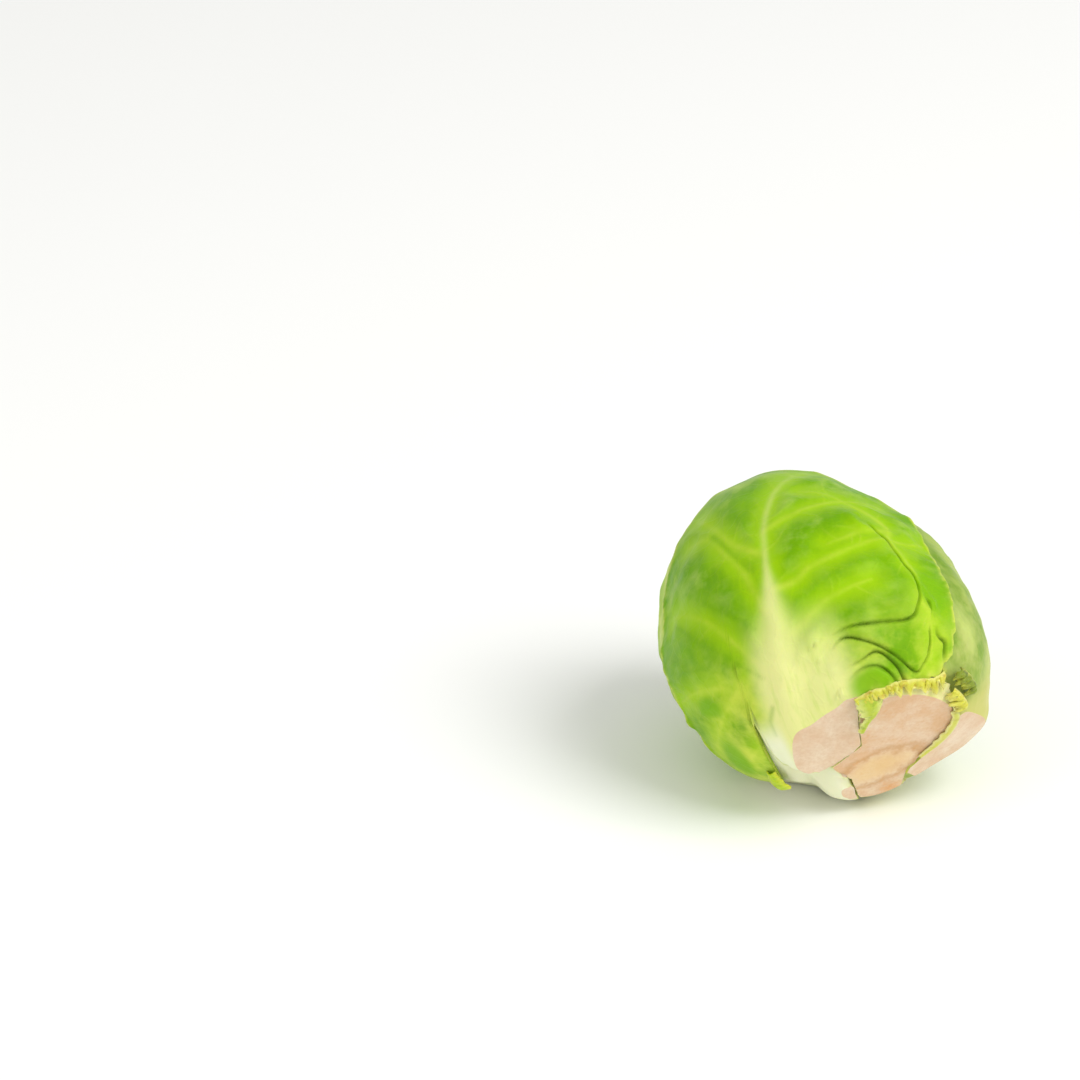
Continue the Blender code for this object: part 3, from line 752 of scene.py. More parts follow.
def build_leaf(leaf, outside, grid, seed):
    """The bmesh of a leaf in the head's frame in mm, closed, with its fields in vertex layers."""
    bm = bmesh.new()
    bmesh.ops.create_grid(bm, x_segments=grid[0], y_segments=grid[1], size=1.0)
    flat = np.array([vert.co for vert in bm.verts])
    t, s, low, high = leaf_angles(leaf, (flat[:, 0] + 1.0) / 2.0, (flat[:, 1] + 1.0) / 2.0)
    d, radius, fields = outer_face(leaf, outside, t, s, seed)
    narrow = ARC * np.cos(np.radians(s))
    sides = np.minimum(s - leaf.low[0][0], leaf.low[-1][0] - s) * ARC
    rim = np.minimum(np.minimum(t - low, high - t) * narrow, sides)
    fields["rim"] = np.exp(-((rim / RIM_WIDE) ** 2))
    thinned = MARGIN_THIN + (1.0 - MARGIN_THIN) * ramp(rim, 0.0, THIN_WIDE)
    blunt = leaf.fleshy(t, s)
    wall = leaf.thickness(d) * (thinned + (1.0 - thinned) * blunt)
    wave = 0.5 + 0.5 * soft_noise(s * ARC, t * ARC, seed + 50, LIFT_WAVE)
    lift = MARGIN_LIFT * np.exp(-((rim / LIFT_WIDE) ** 2)) * wave
    lift = lift * (1.0 - blunt) - SHOULDER * blunt * np.exp(-((rim / SHOULDER_WIDE) ** 2))
    radius = radius + lift * (1.0 - ramp(d @ DOWN, *LIFT_FACING))
    index = bm.verts.layers.int.new("row")
    for number, vert in enumerate(bm.verts):
        vert[index] = number
    layers = {key: bm.verts.layers.float.new(key) for key in fields}
    leaf_layer = bm.verts.layers.float_vector.new("leaf_mm")
    inner_layer = bm.verts.layers.float.new("inside")
    outer = bmesh.ops.extrude_face_region(bm, geom=bm.faces[:], use_keep_orig=True)["geom"]
    outer = {vert for vert in outer if isinstance(vert, bmesh.types.BMVert)}
    for vert in bm.verts:
        row = vert[index]
        reach = radius[row] if vert in outer else radius[row] - wall[row]
        vert.co = d[row] * reach
        vert[leaf_layer] = (s[row] * ARC, t[row] * ARC, 0.0)
        vert[inner_layer] = 0.0 if vert in outer else 1.0
        for key, layer in layers.items():
            vert[layer] = fields[key][row]
    bm.normal_update()
    middle = next(vert for vert in outer if vert[index] == len(flat) // 2)
    if middle.normal.dot(middle.co) < 0.0:
        bmesh.ops.reverse_faces(bm, faces=bm.faces)
    return bm


# %% [markdown]
# ## Knife cuts
# The sprout was taken off its stem with a few strokes of a knife, so the cut faces are flat
# and lie at slightly different slants. A Boolean with a block would do it. Bisecting the mesh
# with a plane is quicker and exact: it splits the faces, drops what is outside, and leaves an
# open ring of edges that is filled and given the cut's own finish.

# %% Cutting and finishing a mesh
MAIN_CUT = (9.7, -64.8, 16.3)
FRONT_LEAF_CUT = (17.0, -72.0, 16.45)
RIGHT_LEAF_CUT = (10.0, 92.1, 17.65)
CUT_SLOT = 1


def knife_cut(bm, cut):
    """Cuts off what lies outside a plane and fills the cut with faces of the second material."""
    polar, azimuth, distance = cut
    normal = Vector(direction(polar, azimuth))
    everything = bm.verts[:] + bm.edges[:] + bm.faces[:]
    found = bmesh.ops.bisect_plane(
        bm, geom=everything, dist=1e-5, plane_co=normal * distance, plane_no=normal, clear_outer=True
    )["geom_cut"]
    ring = [edge for edge in found if isinstance(edge, bmesh.types.BMEdge) and edge.is_boundary]
    before = set(bm.faces)
    bmesh.ops.holes_fill(bm, edges=ring, sides=0)
    fresh = [face for face in bm.faces if face not in before]
    for edge in ring:
        edge.smooth = False
    for face in fresh:
        face.material_index = CUT_SLOT
    bmesh.ops.triangulate(bm, faces=fresh)
    return sum(face.calc_area() for face in bm.faces if face.material_index == CUT_SLOT)


def finish_piece(bm, name, node, materials):
    """Lays the mesh down in its place and makes it an object that stands for a CAD node."""
    head_layer = bm.verts.layers.float_vector.new("head_mm")
    for vert in bm.verts:
        vert[head_layer] = vert.co
    places = in_place(np.array([vert.co for vert in bm.verts]))
    for vert, place in zip(bm.verts, places):
        vert.co = place
    mesh = bpy.data.meshes.new(name)
    bm.to_mesh(mesh)
    bm.free()
    mesh.shade_smooth()
    for material in materials:
        mesh.materials.append(material)
    obj = bpy.data.objects.new(name, mesh)
    bpy.context.scene.collection.objects.link(obj)
    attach(obj, "root")
    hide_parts(node)
    return obj


print("knife planes, mm from the centre:", MAIN_CUT[2], FRONT_LEAF_CUT[2], RIGHT_LEAF_CUT[2])

# %% [markdown]
# ## Building a material from nodes
# Every finish below is a small tree of nodes that ends in one Principled shader. One function
# adds a node: it takes the node's kind, what goes into its sockets, either plain values or
# the output of another node, and its settings. A finish is built up like a watercolour: a
# base colour, then thin washes, each let through by shares that are multiplied. Colours are
# sRGB hex values, as a colour picker shows them, turned into the linear values a render needs.

# %% Colours and nodes
NOISE_ROUGHNESS = 0.6


def linear(hexcode):
    """A linear RGBA colour from an sRGB hex value."""
    shares = [int(hexcode[i : i + 2], 16) / 255.0 for i in (1, 3, 5)]
    return (*[c / 12.92 if c <= 0.04045 else ((c + 0.055) / 1.055) ** 2.4 for c in shares], 1.0)


def fill_sockets(tree, node, sockets):
    """Sets or links the sockets of a node, found by name or number."""
    for key, value in sockets.items():
        if isinstance(value, bpy.types.NodeSocket):
            tree.links.new(value, node.inputs[key])
        else:
            node.inputs[key].default_value = value


def add_node(tree, kind, sockets, output=0, **settings):
    """Adds a node with its settings and links, and returns one of its outputs."""
    node = tree.nodes.new("ShaderNode" + kind)
    for key, value in settings.items():
        setattr(node, key, value)
    fill_sockets(tree, node, sockets)
    return node.outputs[output]


def start_material(name, *fields):
    """A new material, its node tree, and the mesh attributes it reads: places in mm or shares."""
    material = bpy.data.materials.new(name)
    material.use_nodes = True
    tree = material.node_tree
    found = {}
    for key in fields:
        output = "Vector" if key.endswith("_mm") else "Fac"
        found[key] = add_node(tree, "Attribute", {}, output, attribute_name=key)
    return material, tree, found


def clouds(tree, where, size, low, high, to_low=0.0, to_high=1.0, detail=3.0):
    """Patches about a size in mm, with one value under a limit of the noise and one over another."""
    sockets = {"Vector": where, "Scale": 1.0 / size, "Detail": detail, "Roughness": NOISE_ROUGHNESS}
    swell = add_node(tree, "TexNoise", sockets)
    return add_node(tree, "MapRange", {0: swell, 1: low, 2: high, 3: to_low, 4: to_high})


def net_walls(tree, where, size, warp, width):
    """1 on the walls of a wandering net whose meshes have a size in mm, 0 inside them."""
    shift = add_node(tree, "TexNoise", {"Vector": where, "Scale": 0.8 / size, "Detail": 2.0}, "Color")
    moved = add_node(tree, "VectorMath", {0: shift, "Scale": warp * size}, operation="SCALE")
    warped = add_node(tree, "VectorMath", {0: where, 1: moved}, operation="ADD")
    sockets = {"Vector": warped, "Scale": 1.0 / size, "Randomness": 0.9}
    away = add_node(tree, "TexVoronoi", sockets, feature="DISTANCE_TO_EDGE")
    return add_node(tree, "MapRange", {0: away, 1: 0.0, 2: width, 3: 1.0, 4: 0.0})


def wash(tree, colour, layers):
    """Lays colours over a base, each let through by the product of its shares."""
    for over, share, *factors in layers:
        for factor in factors:
            share = add_node(tree, "Math", {0: share, 1: factor}, operation="MULTIPLY")
        colour = add_node(tree, "Mix", {0: share, 6: colour, 7: linear(over)}, 2, data_type="RGBA")
    return colour


print("deep leaf green, linear:", [round(value, 3) for value in linear("#6FA800")[:3]])

# %% [markdown]
# ## Fresh waxy cabbage leaf
# A sprout leaf is smooth, slightly translucent tissue under a thin film of wax. The wax gives
# broad soft highlights and a whitish bloom, which is partly painted highlight: it is laid on the
# tops of the puffed panels and grows towards the apex. The green is deepest in the puffed
# panels, turns yellow towards every vein, and fades to cream on the rib and at the base, where
# no light reached it. The folds and creases get painted shade. All of that follows the
# attributes that the mesh carries, with a fine net of the smallest veins, which are about 0.9
# and 2.4 mm apart, laid over it.

# %% The leaf finish
LEAF_IOR = 1.45
LEAF_ROUGHNESS = 0.42
SMALL_NET = 0.9
LARGE_NET = 2.4
STREAK_STRETCH = (1.0, 0.16, 1.0)
BLOOM_AND_HIGHLIGHT = "#CBDD7A"
BLEACHED = "#F0F1D6"
FOLD_SHADE = "#4E7408"
DRY_RIM = "#C9D25A"
LEAF_FIELDS = (
    "rib", "vein", "puff", "crease", "near_vein", "dark", "up", "base", "lowest", "paling", "patch", "rim",
)


def leaf_finish(name, deep, mid, light, pale, cream, bloom_and_highlight_share):
    """Waxed leaf: green panels, paler towards veins and base, with a whitish bloom on top that is partly
    painted highlight, and painted shade in the folds.
    """
    material, tree, at = start_material(name, "leaf_mm", *LEAF_FIELDS)
    where = at["leaf_mm"]
    drawn_out = add_node(tree, "VectorMath", {0: where, 1: STREAK_STRETCH}, operation="MULTIPLY")
    large = net_walls(tree, where, LARGE_NET, 0.6, 0.08)
    small = net_walls(tree, where, SMALL_NET, 0.6, 0.10)
    highlight_towards_apex = add_node(tree, "MapRange", {0: at["up"], 1: 0.5, 2: 0.72, 3: 0.6, 4: 1.5})
    layers = (
        (mid, clouds(tree, where, 9.0, 0.35, 0.65)),
        (light, clouds(tree, where, 2.2, 0.45, 0.75, 0.0, 0.35, 4.0)),
        (light, clouds(tree, drawn_out, 1.1, 0.42, 0.72, 0.0, 0.28, 4.0)),
        (light, large, 0.14),
        (light, small, 0.07),
        (deep, at["puff"], 0.45),
        (light, at["near_vein"], 0.80),
        (pale, at["paling"], clouds(tree, where, 4.5, 0.38, 0.62, 0.05, 0.75, 4.0)),
        (pale, at["vein"], clouds(tree, where, 3.5, 0.35, 0.7, 0.2, 0.8, 4.0)),
        # Whitish bloom, partly painted highlight: on the puffed panel tops and more towards the apex
        (BLOOM_AND_HIGHLIGHT, clouds(tree, where, 5.0, 0.48, 0.72, 0.0, bloom_and_highlight_share, 5.0), at["puff"], highlight_towards_apex),
        (cream, at["base"], 0.85),
        (cream, at["rib"], 0.8),
        (light, clouds(tree, drawn_out, 0.7, 0.5, 0.75, 0.0, 0.3), at["base"]),
        (mid, at["patch"], 0.85),
        (BLEACHED, at["lowest"], 0.85),
        # Painted shade along the lines where the blade folds over the leaf beneath
        (deep, at["dark"], 0.40),
        # Painted shade in the creases of the crumpled ear
        (FOLD_SHADE, at["crease"], 0.8),
        (DRY_RIM, at["rim"], clouds(tree, where, 1.3, 0.4, 0.6, 0.25, 0.9)),
    )
    grain = clouds(tree, where, 0.35, 0.0, 1.0, 0.0, 0.8, 2.0)
    height = add_node(tree, "Math", {0: large, 1: grain}, operation="ADD")
    finish = {
        "Base Color": wash(tree, linear(deep), layers),
        "Roughness": clouds(tree, where, 2.5, 0.3, 0.7, LEAF_ROUGHNESS - 0.07, LEAF_ROUGHNESS + 0.12, 4.0),
        "Normal": add_node(tree, "Bump", {"Height": height, "Strength": 0.3, "Distance": 0.05 * MM}),
        "IOR": LEAF_IOR,
        "Specular IOR Level": 0.22,
        "Specular Tint": linear("#FFFF9C"),
        "Sheen Weight": 0.08,
        "Sheen Tint": linear("#F0F6A0"),
        "Sheen Roughness": 0.45,
        "Subsurface Weight": 0.10,
        "Subsurface Radius": (0.6, 1.0, 0.1),
        "Subsurface Scale": 1.2 * MM,
    }
    fill_sockets(tree, tree.nodes["Principled BSDF"], finish)
    return material


# Satin green skin with broad soft highlights; the eye reads it as cool, firm and fresh
outer_leaf = leaf_finish("waxed_outer_leaf", "#5E9800", "#74AE00", "#9CC806", "#D0DC52", "#E7E79A", 0.45)
# Greyer and paler, with more bloom: partly the leaf's own tone, partly painted light for the leaf on the
# right, which faces the light
lit_side_leaf = leaf_finish("waxed_side_leaf", "#648E16", "#84A232", "#A4B850", "#BCC270", "#C4C06C", 0.8)
# Milky pale green: leaves that saw little light
shaded_leaf = leaf_finish("waxed_shaded_leaf", "#6C9E08", "#8CB81E", "#AECE3C", "#D6DE7C", "#E6E6A8", 0.5)
# Almost cream, for the innermost leaves
inner_leaf = leaf_finish("pale_inner_leaf", "#A3C24C", "#BBD066", "#D2DF8C", "#E4EAB4", "#F0F0D2", 0.30)
print("leaf finishes:", [material.name for material in (outer_leaf, lit_side_leaf, shaded_leaf, inner_leaf)])

# %% [markdown]
# ## Cut flesh
# The knife opens the stalk and the fleshy leaf bases. The flesh is moist, pinkish white and
# slightly see-through. A stalk has a woody ring of vessels under its rind, which shows as a
# yellow-brown oval that has begun to dry, with a pale pith inside it. The ring is a distance
# field on the cut: how far a point is from an oval, in millimetres.

# %% The cut finishes
FLESH_IOR = 1.38
RING_CENTRE = (-0.6, 0.6, 0.0)
RING_STRETCH = (0.55, 1.0, 0.0)
RING_TURN = 0.45
RING_WIDE = 2.6
RING_WANDER = 1.1


def moist_finish(tree, where, colour, roughness):
    """Closes a finish as moist flesh: fine grain, soft gloss and light that sinks in a little."""
    grain = clouds(tree, where, 0.28, 0.0, 1.0, 0.0, 1.0, 4.0)
    finish = {
        "Base Color": colour,
        "Roughness": clouds(tree, where, 1.2, 0.3, 0.7, roughness - 0.08, roughness + 0.1),
        "Normal": add_node(tree, "Bump", {"Height": grain, "Strength": 0.5, "Distance": 0.08 * MM}),
        "IOR": FLESH_IOR,
        "Subsurface Weight": 0.25,
        "Subsurface Radius": (1.0, 0.7, 0.4),
        "Subsurface Scale": 1.2 * MM,
    }
    fill_sockets(tree, tree.nodes["Principled BSDF"], finish)


# Pinkish white and moist: the cut base of a leaf
petiole_flesh, tree, at = start_material("cut_leaf_base", "head_mm")
where = at["head_mm"]
layers = (
    ("#DFBF9E", clouds(tree, where, 3.0, 0.35, 0.65)),
    ("#D0AA7C", clouds(tree, where, 0.35, 0.4, 0.7, 0.0, 0.35, 4.0)),
)
moist_finish(tree, where, wash(tree, linear("#EAD6BC"), layers), 0.45)

# The cut stalk: warmer than the leaf bases, with its ring of vessels and drying patches
stalk_flesh, tree, at = start_material("cut_stalk", "head_mm")
where = at["head_mm"]
centred = add_node(tree, "VectorMath", {0: where, 1: RING_CENTRE}, operation="SUBTRACT")
turned = add_node(tree, "VectorRotate", {"Vector": centred, "Angle": RING_TURN}, rotation_type="Z_AXIS")
oval = add_node(tree, "VectorMath", {0: turned, 1: RING_STRETCH}, operation="MULTIPLY")
reach = add_node(tree, "VectorMath", {0: oval}, "Value", operation="LENGTH")
wander = clouds(tree, where, 3.0, 0.2, 0.8, -RING_WANDER, RING_WANDER, 4.0)
reach = add_node(tree, "Math", {0: reach, 1: wander}, operation="ADD")
pith = add_node(tree, "MapRange", {0: reach, 1: 2.4, 2: 1.2})
ring_inner = add_node(tree, "MapRange", {0: reach, 1: 1.9, 2: 2.5})
ring_outer = add_node(tree, "MapRange", {0: reach, 1: 3.3, 2: RING_WIDE})
layers = (
    ("#DDB78E", clouds(tree, where, 3.0, 0.35, 0.65)),
    ("#CFA070", clouds(tree, where, 0.35, 0.4, 0.7, 0.0, 0.35, 4.0)),
    ("#EBCB8E", pith, 0.6),
    ("#C28B45", ring_inner, ring_outer, 0.5),
    ("#DE9230", clouds(tree, where, 2.6, 0.60, 0.76, 0.0, 0.6, 4.0)),
)
moist_finish(tree, where, wash(tree, linear("#E6D0B4"), layers), 0.48)
print("ring of vessels about", round(2.0 * RING_WIDE, 1), "mm across the short way")

# %% [markdown]
# ## The stalk's rind and the heart
# The short stub of stalk between the leaf bases is hidden except for its cut. Its rind is
# pale and yellow-green. The heart is a tight ball of young leaves that never saw light.

# %% Rind and heart finishes
# Pale yellow-green skin of the stalk
rind, tree, at = start_material("stalk_rind", "head_mm")
where = at["head_mm"]
layers = (("#E2DDA0", clouds(tree, where, 2.0, 0.35, 0.65)),)
moist_finish(tree, where, wash(tree, linear("#D3D178"), layers), 0.45)

# Cream with faint green seams: young leaves packed tight
heart_finish, tree, at = start_material("young_heart_leaves", "head_mm")
where = at["head_mm"]
layers = (
    ("#F2F0C8", clouds(tree, where, 4.0, 0.35, 0.65)),
    ("#BFCF6C", net_walls(tree, where, 6.0, 0.9, 0.05), 0.5),
)
moist_finish(tree, where, wash(tree, linear("#E3E9A6"), layers), 0.42)
print("hidden finishes:", rind.name, heart_finish.name)

# %% [markdown]
# ## Making the leaves, outermost first
# The order matters only for the stacking: each leaf gets the list of the leaves that lie
# outside it. The outermost leaf and the one on the right reach the knife cut, so they are
# cut with the planes that the knife left there, and the others with the main plane.

# %% The eight leaves
GRIDS = (FRONT_GRID, SIDE_GRID, BELLY_GRID, *[HIDDEN_GRID] * 5)
CUTS = (FRONT_LEAF_CUT, RIGHT_LEAF_CUT, *[MAIN_CUT] * 6)
LEAF_SEED = 100
FINISHES = (outer_leaf, lit_side_leaf, shaded_leaf, shaded_leaf, shaded_leaf, inner_leaf, inner_leaf, inner_leaf)

for number, leaf in enumerate(leaves):
    bm = build_leaf(leaf, leaves[:number], GRIDS[number], LEAF_SEED + number)
    area = knife_cut(bm, CUTS[number])
    piece = finish_piece(bm, leaf.name + "_skin", leaf.name, (FINISHES[number], petiole_flesh))
    print(piece.name, "faces:", len(piece.data.polygons), "cut, mm2:", round(area, 1))

# %% [markdown]
# ## The heart and the stalk
# Both are closed balls whose every vertex is moved in or out along its own direction. The
# heart fills what the leaves leave. The stalk's lower half follows the inner faces of the
# leaf bases like a plug, and its upper half closes to a point inside the heart.

# %% Heart and stalk
HEART_SLACK = 0.4
STALK_MARGIN = 0.02
STALK_RAMP = 0.2
STALK_SLACK = 0.12
STALK_ANGLE = 46.0
STALK_TIP = -4.0
STALK_CAP_SHARE = 0.6
HOLLOW_RADIUS = 3.5
HOLLOW_EASE = 6.0
HEART_MESH = (64, 96)
STALK_MESH = (100, 200)


def ball(rings, sides):
    bm = bmesh.new()
    bmesh.ops.create_uvsphere(bm, u_segments=sides, v_segments=rings, radius=1.0)
    return bm, np.array([vert.co.normalized() for vert in bm.verts])


def stalk_level(d):
    """The radius left for the stalk, which fills out between the leaf bases."""
    form = head_form(d)
    level = form
    for count, leaf in enumerate(leaves, 1):
        inner = level_under(d, leaves[:count])
        near = leaf.cover(d, STALK_MARGIN, STALK_RAMP)
        level = np.minimum(level, form + (inner - STALK_SLACK - form) * near)
    return level


bm, d = ball(*HEART_MESH)
radius = (level_under(d, leaves) - HEART_SLACK) * settled(d)
polar = angle_from(d, 0.0, 0.0)
radius = radius + (HOLLOW_RADIUS - radius) * ramp(polar, STALK_ANGLE + HOLLOW_EASE, STALK_ANGLE)
for vert, spot in zip(bm.verts, d * radius[:, None]):
    vert.co = spot
finish_piece(bm, "heart_skin", "heart", (heart_finish,))

bm, d = ball(*STALK_MESH)
polar = np.degrees(np.arccos(np.clip(-d[:, 2], -1.0, 1.0)))
azimuth = np.arctan2(d[:, 0], -d[:, 1])
cap_end = 180.0 * STALK_CAP_SHARE
theta = np.radians(STALK_ANGLE * np.minimum(polar / cap_end, 1.0))
d = np.stack([np.sin(theta) * np.sin(azimuth), -np.sin(theta) * np.cos(azimuth), -np.cos(theta)], axis=1)
inward = np.clip((polar - cap_end) / (180.0 - cap_end), 0.0, 1.0)[:, None]
spots = d * stalk_level(d)[:, None] * (1.0 - inward) + np.array([0.0, 0.0, STALK_TIP]) * inward
for vert, spot in zip(bm.verts, spots):
    vert.co = spot
area = knife_cut(bm, MAIN_CUT)
finish_piece(bm, "stalk_skin", "stalk", (rind, stalk_flesh))
print("stalk cut, mm2:", round(area, 1))

# %% [markdown]
# ## Torn scraps round the cut
# Pulling off the outer leaves and cutting the stalk leaves scraps: a curl of skin on the cut,
# a frill of yellow tissue along the torn margin, crumpled bits and a yellow seam where two
# leaf bases meet, and a rolled ear tip. Cloth tools would need a long simulation for such
# small bits. Each one is a grid stretched between two drawn edges, ruffled, and given a wall.

# %% The ribbon maker
SCRAP_WALL = 0.16
RUFFLE = 0.6
RUFFLE_SIZE = 2.6
RAG_SIZE = 2.0
RUFFLE_RUN = 20.0
LEAST_FACING = 0.2
SCRAP_COLUMNS = 70
SCRAP_ROWS = 12


def cut_depth(d, cut):
    """The radius in mm at which each direction meets a knife plane."""
    polar, azimuth, distance = cut
    return distance / np.maximum(d @ direction(polar, azimuth), LEAST_FACING)


def build_scrap(name, node, leaf, near, far, arch, ragged, seed, finish):
    """A ruffled ribbon between two edges, each a row of (t, s, lift in mm) on a leaf."""
    bm = bmesh.new()
    bmesh.ops.create_grid(bm, x_segments=SCRAP_COLUMNS, y_segments=SCRAP_ROWS, size=1.0)
    flat = np.array([vert.co for vert in bm.verts])
    along = (flat[:, 0] + 1.0) / 2.0
    across = (flat[:, 1] + 1.0) / 2.0
    edges = []
    for edge in (near, far):
        edge = np.array(smooth_line(edge, 8))
        steps = np.linspace(0.0, 1.0, len(edge))
        edges.append(np.stack([np.interp(along, steps, column) for column in edge.T], axis=1))
    reach = across + ragged * across * soft_noise(along * RUFFLE_RUN, along * 0.0, seed, RAG_SIZE)
    spots = edges[0] + (edges[1] - edges[0]) * reach[:, None]
    t, s, lift = spots.T
    lift = lift + arch * np.sin(np.pi * np.clip(across, 0.0, 1.0))
    wave = soft_noise(along * RUFFLE_RUN, across * 3.0, seed + 1, RUFFLE_SIZE)
    lift = lift + RUFFLE * ragged * across * wave
    d = leaf.to_direction(t, s)
    radius = np.minimum(head_form(d), cut_depth(d, MAIN_CUT)) + lift
    to_edge = np.abs(2.0 * across - 1.0)
    layer = bm.verts.layers.float.new("edge")
    for number, vert in enumerate(bm.verts):
        vert.co = d[number] * radius[number]
        vert[layer] = to_edge[number]
    bm.normal_update()
    if sum(face.normal.dot(face.calc_center_median()) for face in bm.faces) < 0.0:
        bmesh.ops.reverse_faces(bm, faces=bm.faces)
    bmesh.ops.solidify(bm, geom=bm.faces, thickness=-SCRAP_WALL)
    if bm.calc_volume(signed=True) < 0.0:
        bmesh.ops.reverse_faces(bm, faces=bm.faces)
    return finish_piece(bm, name, node, (finish,))


# %% [markdown]
# ## Limp torn tissue
# Skin that has been torn off goes limp, and bruises turn olive and then brown. It is wetter
# than the leaf, so it takes the same moist finish as the cuts, with paler edges where it is
# thinnest and small patches that have begun to dry.

# %% The finish of torn tissue
def scrap_finish(name, core, edge, dry):
    """Limp bruised tissue: brighter in the middle, paler at its edges, with drying specks."""
    material, tree, at = start_material(name, "head_mm", "edge")
    where = at["head_mm"]
    to_edge = add_node(tree, "MapRange", {0: at["edge"], 1: 0.3, 2: 1.0})
    layers = ((edge, to_edge), (dry, clouds(tree, where, 0.9, 0.52, 0.66, 0.0, 0.6)))
    moist_finish(tree, where, wash(tree, linear(core), layers), 0.42)
    return material


green_scrap = scrap_finish("torn_green_skin", "#B4C63C", "#E2E48C", "#7E9A20")
yellow_scrap = scrap_finish("torn_yellow_tissue", "#CFCB44", "#E6DE7A", "#B08A2A")
olive_scrap = scrap_finish("bruised_olive_tissue", "#7C8E22", "#BCC048", "#3F4E12")
ear_scrap = scrap_finish("rolled_ear_tip", "#B4D008", "#D8DE3C", "#8CB408")
slit_scrap = scrap_finish("yellowed_leaf_seam", "#CFCF58", "#E2DC92", "#B8B040")
print("scrap wall, mm:", SCRAP_WALL)

# %% [markdown]
# ## Where the scraps lie
# Each scrap is two drawn edges in the angles of the leaf it hangs on, with a lift off the
# cut or the skin in millimetres, then how much it arches, how ragged its free edge is, the
# seed of its ruffles and its finish. The order follows the cut from left to right.

# %% The scraps in their places
front, right = leaves[:2]
SCRAPS = (
    (
        "scrap_on_cut", "leaf_front", front,
        ((42.0, 23.5, 0.1), (38.5, 23.6, 0.2), (34.0, 21.4, 0.25), (31.0, 18.0, 0.2), (27.0, 14.9, 0.1)),
        ((42.0, 15.6, 0.5), (38.0, 15.4, 0.9), (34.5, 16.6, 0.8), (31.2, 14.6, 0.5), (27.0, 12.8, 0.2)),
        0.45, 0.08, 31, green_scrap,
    ),
    (
        "frill_left", "leaf_front", front,
        ((42.5, 15.5, 0.3), (43.5, 20.0, 0.4), (43.0, 25.0, 0.35), (42.5, 30.0, 0.3)),
        ((41.0, 16.0, 0.4), (40.8, 20.0, 0.6), (40.2, 25.0, 0.5), (39.6, 30.0, 0.4)),
        0.2, 0.45, 33, yellow_scrap,
    ),
    (
        "frill_middle", "leaf_front", front,
        ((43.0, 24.0, 0.2), (42.0, 31.0, 0.25), (39.0, 37.0, 0.25), (35.5, 41.5, 0.25), (34.5, 46.0, 0.2)),
        ((40.3, 24.0, 0.2), (38.6, 30.5, 0.3), (35.4, 35.5, 0.3), (31.8, 40.5, 0.25), (29.5, 44.5, 0.2)),
        0.15, 0.45, 35, yellow_scrap,
    ),
    (
        "crumple_yellow", "leaf_right", right,
        ((18.0, -13.5, 0.3), (15.5, -16.0, 0.55), (13.0, -18.5, 0.55), (10.0, -21.0, 0.3)),
        ((13.5, -12.5, 0.1), (11.0, -15.0, 0.3), (9.0, -17.5, 0.3), (6.5, -19.5, 0.1)),
        0.4, 0.30, 37, yellow_scrap,
    ),
    (
        "crumple_olive", "leaf_right", right,
        ((22.0, -18.0, 0.2), (19.5, -21.5, 0.45), (16.5, -24.5, 0.45), (13.0, -27.0, 0.3)),
        ((17.5, -16.5, 0.2), (15.5, -20.0, 0.35), (12.5, -22.5, 0.35), (9.5, -25.0, 0.2)),
        0.5, 0.30, 39, olive_scrap,
    ),
    (
        "slit_lip", "leaf_right", right,
        ((11.6, -16.8, 0.0), (16.2, -8.0, 0.05), (16.4, 1.0, 0.05), (13.2, 11.0, 0.0)),
        ((8.8, -18.2, 0.12), (13.0, -9.2, 0.2), (13.4, 0.4, 0.2), (11.2, 10.0, 0.1)),
        0.1, 0.10, 43, slit_scrap,
    ),
    (
        "ear_tip", "leaf_front", front,
        ((15.0, -27.0, 0.0), (9.0, -28.0, 0.1), (4.0, -29.0, 0.15), (-1.0, -30.0, 0.05)),
        ((17.0, -22.8, 0.25), (11.5, -21.2, 0.55), (7.0, -20.0, 0.6), (2.5, -22.5, 0.35)),
        0.35, 0.04, 41, ear_scrap,
    ),
)
for settings in SCRAPS:
    scrap = build_scrap(*settings)
    print(scrap.name, "faces:", len(scrap.data.polygons))

# %% [markdown]
# ## Floor, light and camera
# The sprout lies on a plain near-white table in soft daylight from the upper right. A large
# area light gives the broad gradient, a bright even background fills the shadows, and the
# camera looks down at 26 degrees through a long lens, as for a catalogue picture.

# %% Studio
FLOOR_SIZE = 3.0
CAMERA_AWAY = 0.6
VIEW_ELEVATION = 26.0
VIEW_WIDTH = 0.1178
SENSOR = 36.0
AIM_RIGHT = -30.6
AIM_UP = 11.0
DAYLIGHT = 0.62
WINDOW = ((0.45, -0.25, 0.60), 0.45, 4.2)
REFLECTOR = ((-0.55, -0.35, 0.35), 0.5, 0.9)
LOOK_AT = Vector((0.0, 0.0, 0.016))

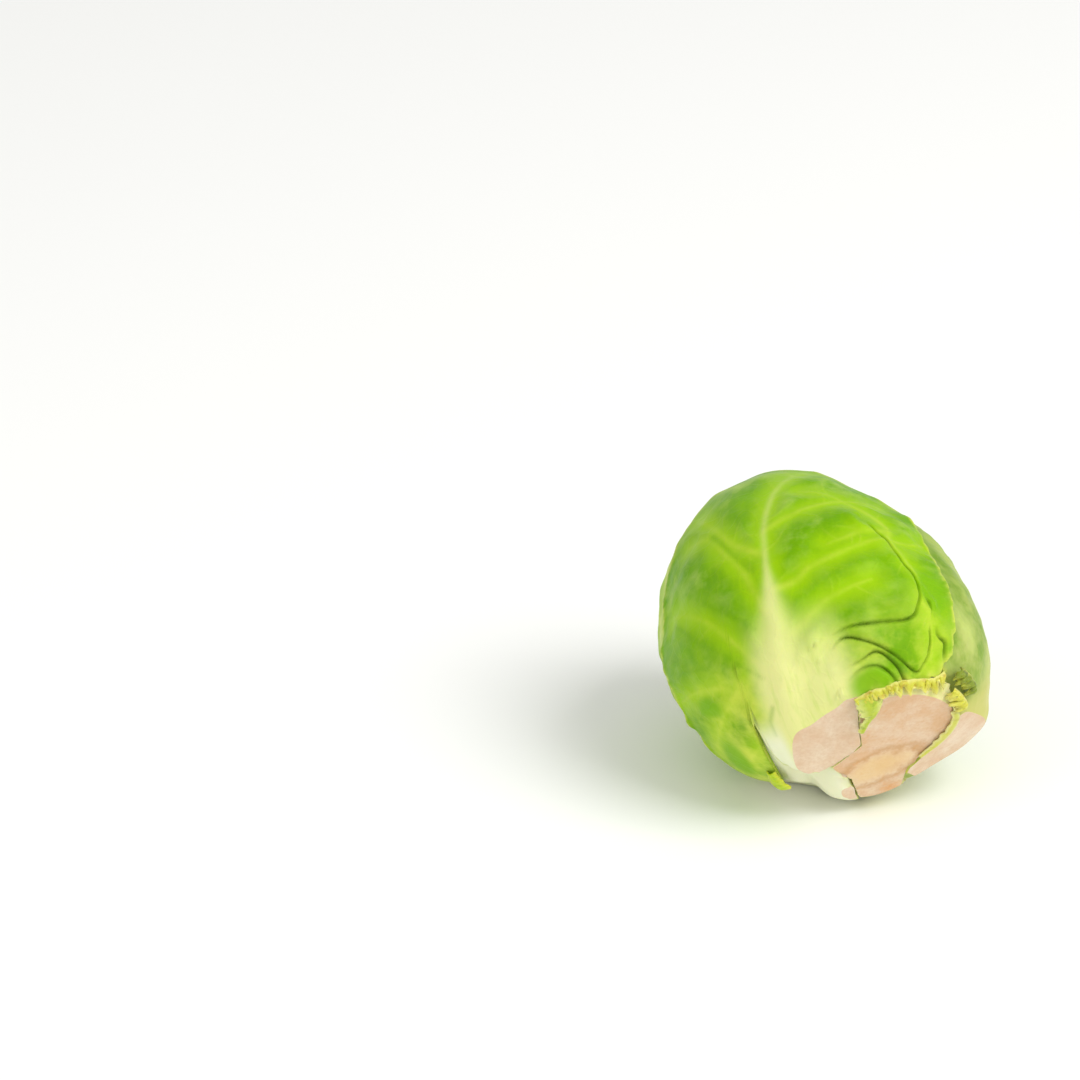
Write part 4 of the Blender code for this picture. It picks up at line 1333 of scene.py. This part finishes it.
bm = bmesh.new()
bmesh.ops.create_grid(bm, x_segments=2, y_segments=2, size=FLOOR_SIZE / 2.0)
mesh = bpy.data.meshes.new("table")
bm.to_mesh(mesh)
bm.free()
table = bpy.data.objects.new("table", mesh)
bpy.context.scene.collection.objects.link(table)
# Matt white board: it keeps the contact shadow soft and shows no reflection
table_finish, tree, _ = start_material("white_table_top")
board = {"Base Color": linear("#FBFBF8"), "Roughness": 0.8, "Specular IOR Level": 0.1}
fill_sockets(tree, tree.nodes["Principled BSDF"], board)
mesh.materials.append(table_finish)

world = bpy.data.worlds.new("soft_daylight")
world.use_nodes = True
world.node_tree.nodes["Background"].inputs["Color"].default_value = (1.0, 1.0, 1.0, 1.0)
world.node_tree.nodes["Background"].inputs["Strength"].default_value = DAYLIGHT
bpy.context.scene.world = world


def soft_box(name, spot, size, power):
    """A square area light that points at the sprout."""
    light = bpy.data.lights.new(name, "AREA")
    light.shape = "SQUARE"
    light.size = size
    light.energy = power
    lamp = bpy.data.objects.new(name, light)
    lamp.location = spot
    lamp.rotation_euler = (LOOK_AT - Vector(spot)).to_track_quat("-Z", "Y").to_euler()
    bpy.context.scene.collection.objects.link(lamp)


soft_box("window", *WINDOW)
soft_box("reflector", *REFLECTOR)

elevation = math.radians(VIEW_ELEVATION)
view_up = Vector((0.0, math.sin(elevation), math.cos(elevation)))
towards_camera = Vector((0.0, -math.cos(elevation), math.sin(elevation)))
aim = (Vector(CENTRE) + Vector((AIM_RIGHT, 0.0, 0.0)) + view_up * AIM_UP) * MM
camera_data = bpy.data.cameras.new("camera")
camera_data.sensor_width = SENSOR
camera_data.lens = SENSOR * CAMERA_AWAY / VIEW_WIDTH
camera_data.clip_start = 0.01
camera = bpy.data.objects.new("camera", camera_data)
camera.location = aim + towards_camera * CAMERA_AWAY
camera.rotation_euler = (-towards_camera).to_track_quat("-Z", "Y").to_euler()
bpy.context.scene.collection.objects.link(camera)
bpy.context.scene.camera = camera
bpy.context.scene.view_settings.view_transform = "Standard"
print("lens, mm:", round(camera_data.lens, 1))
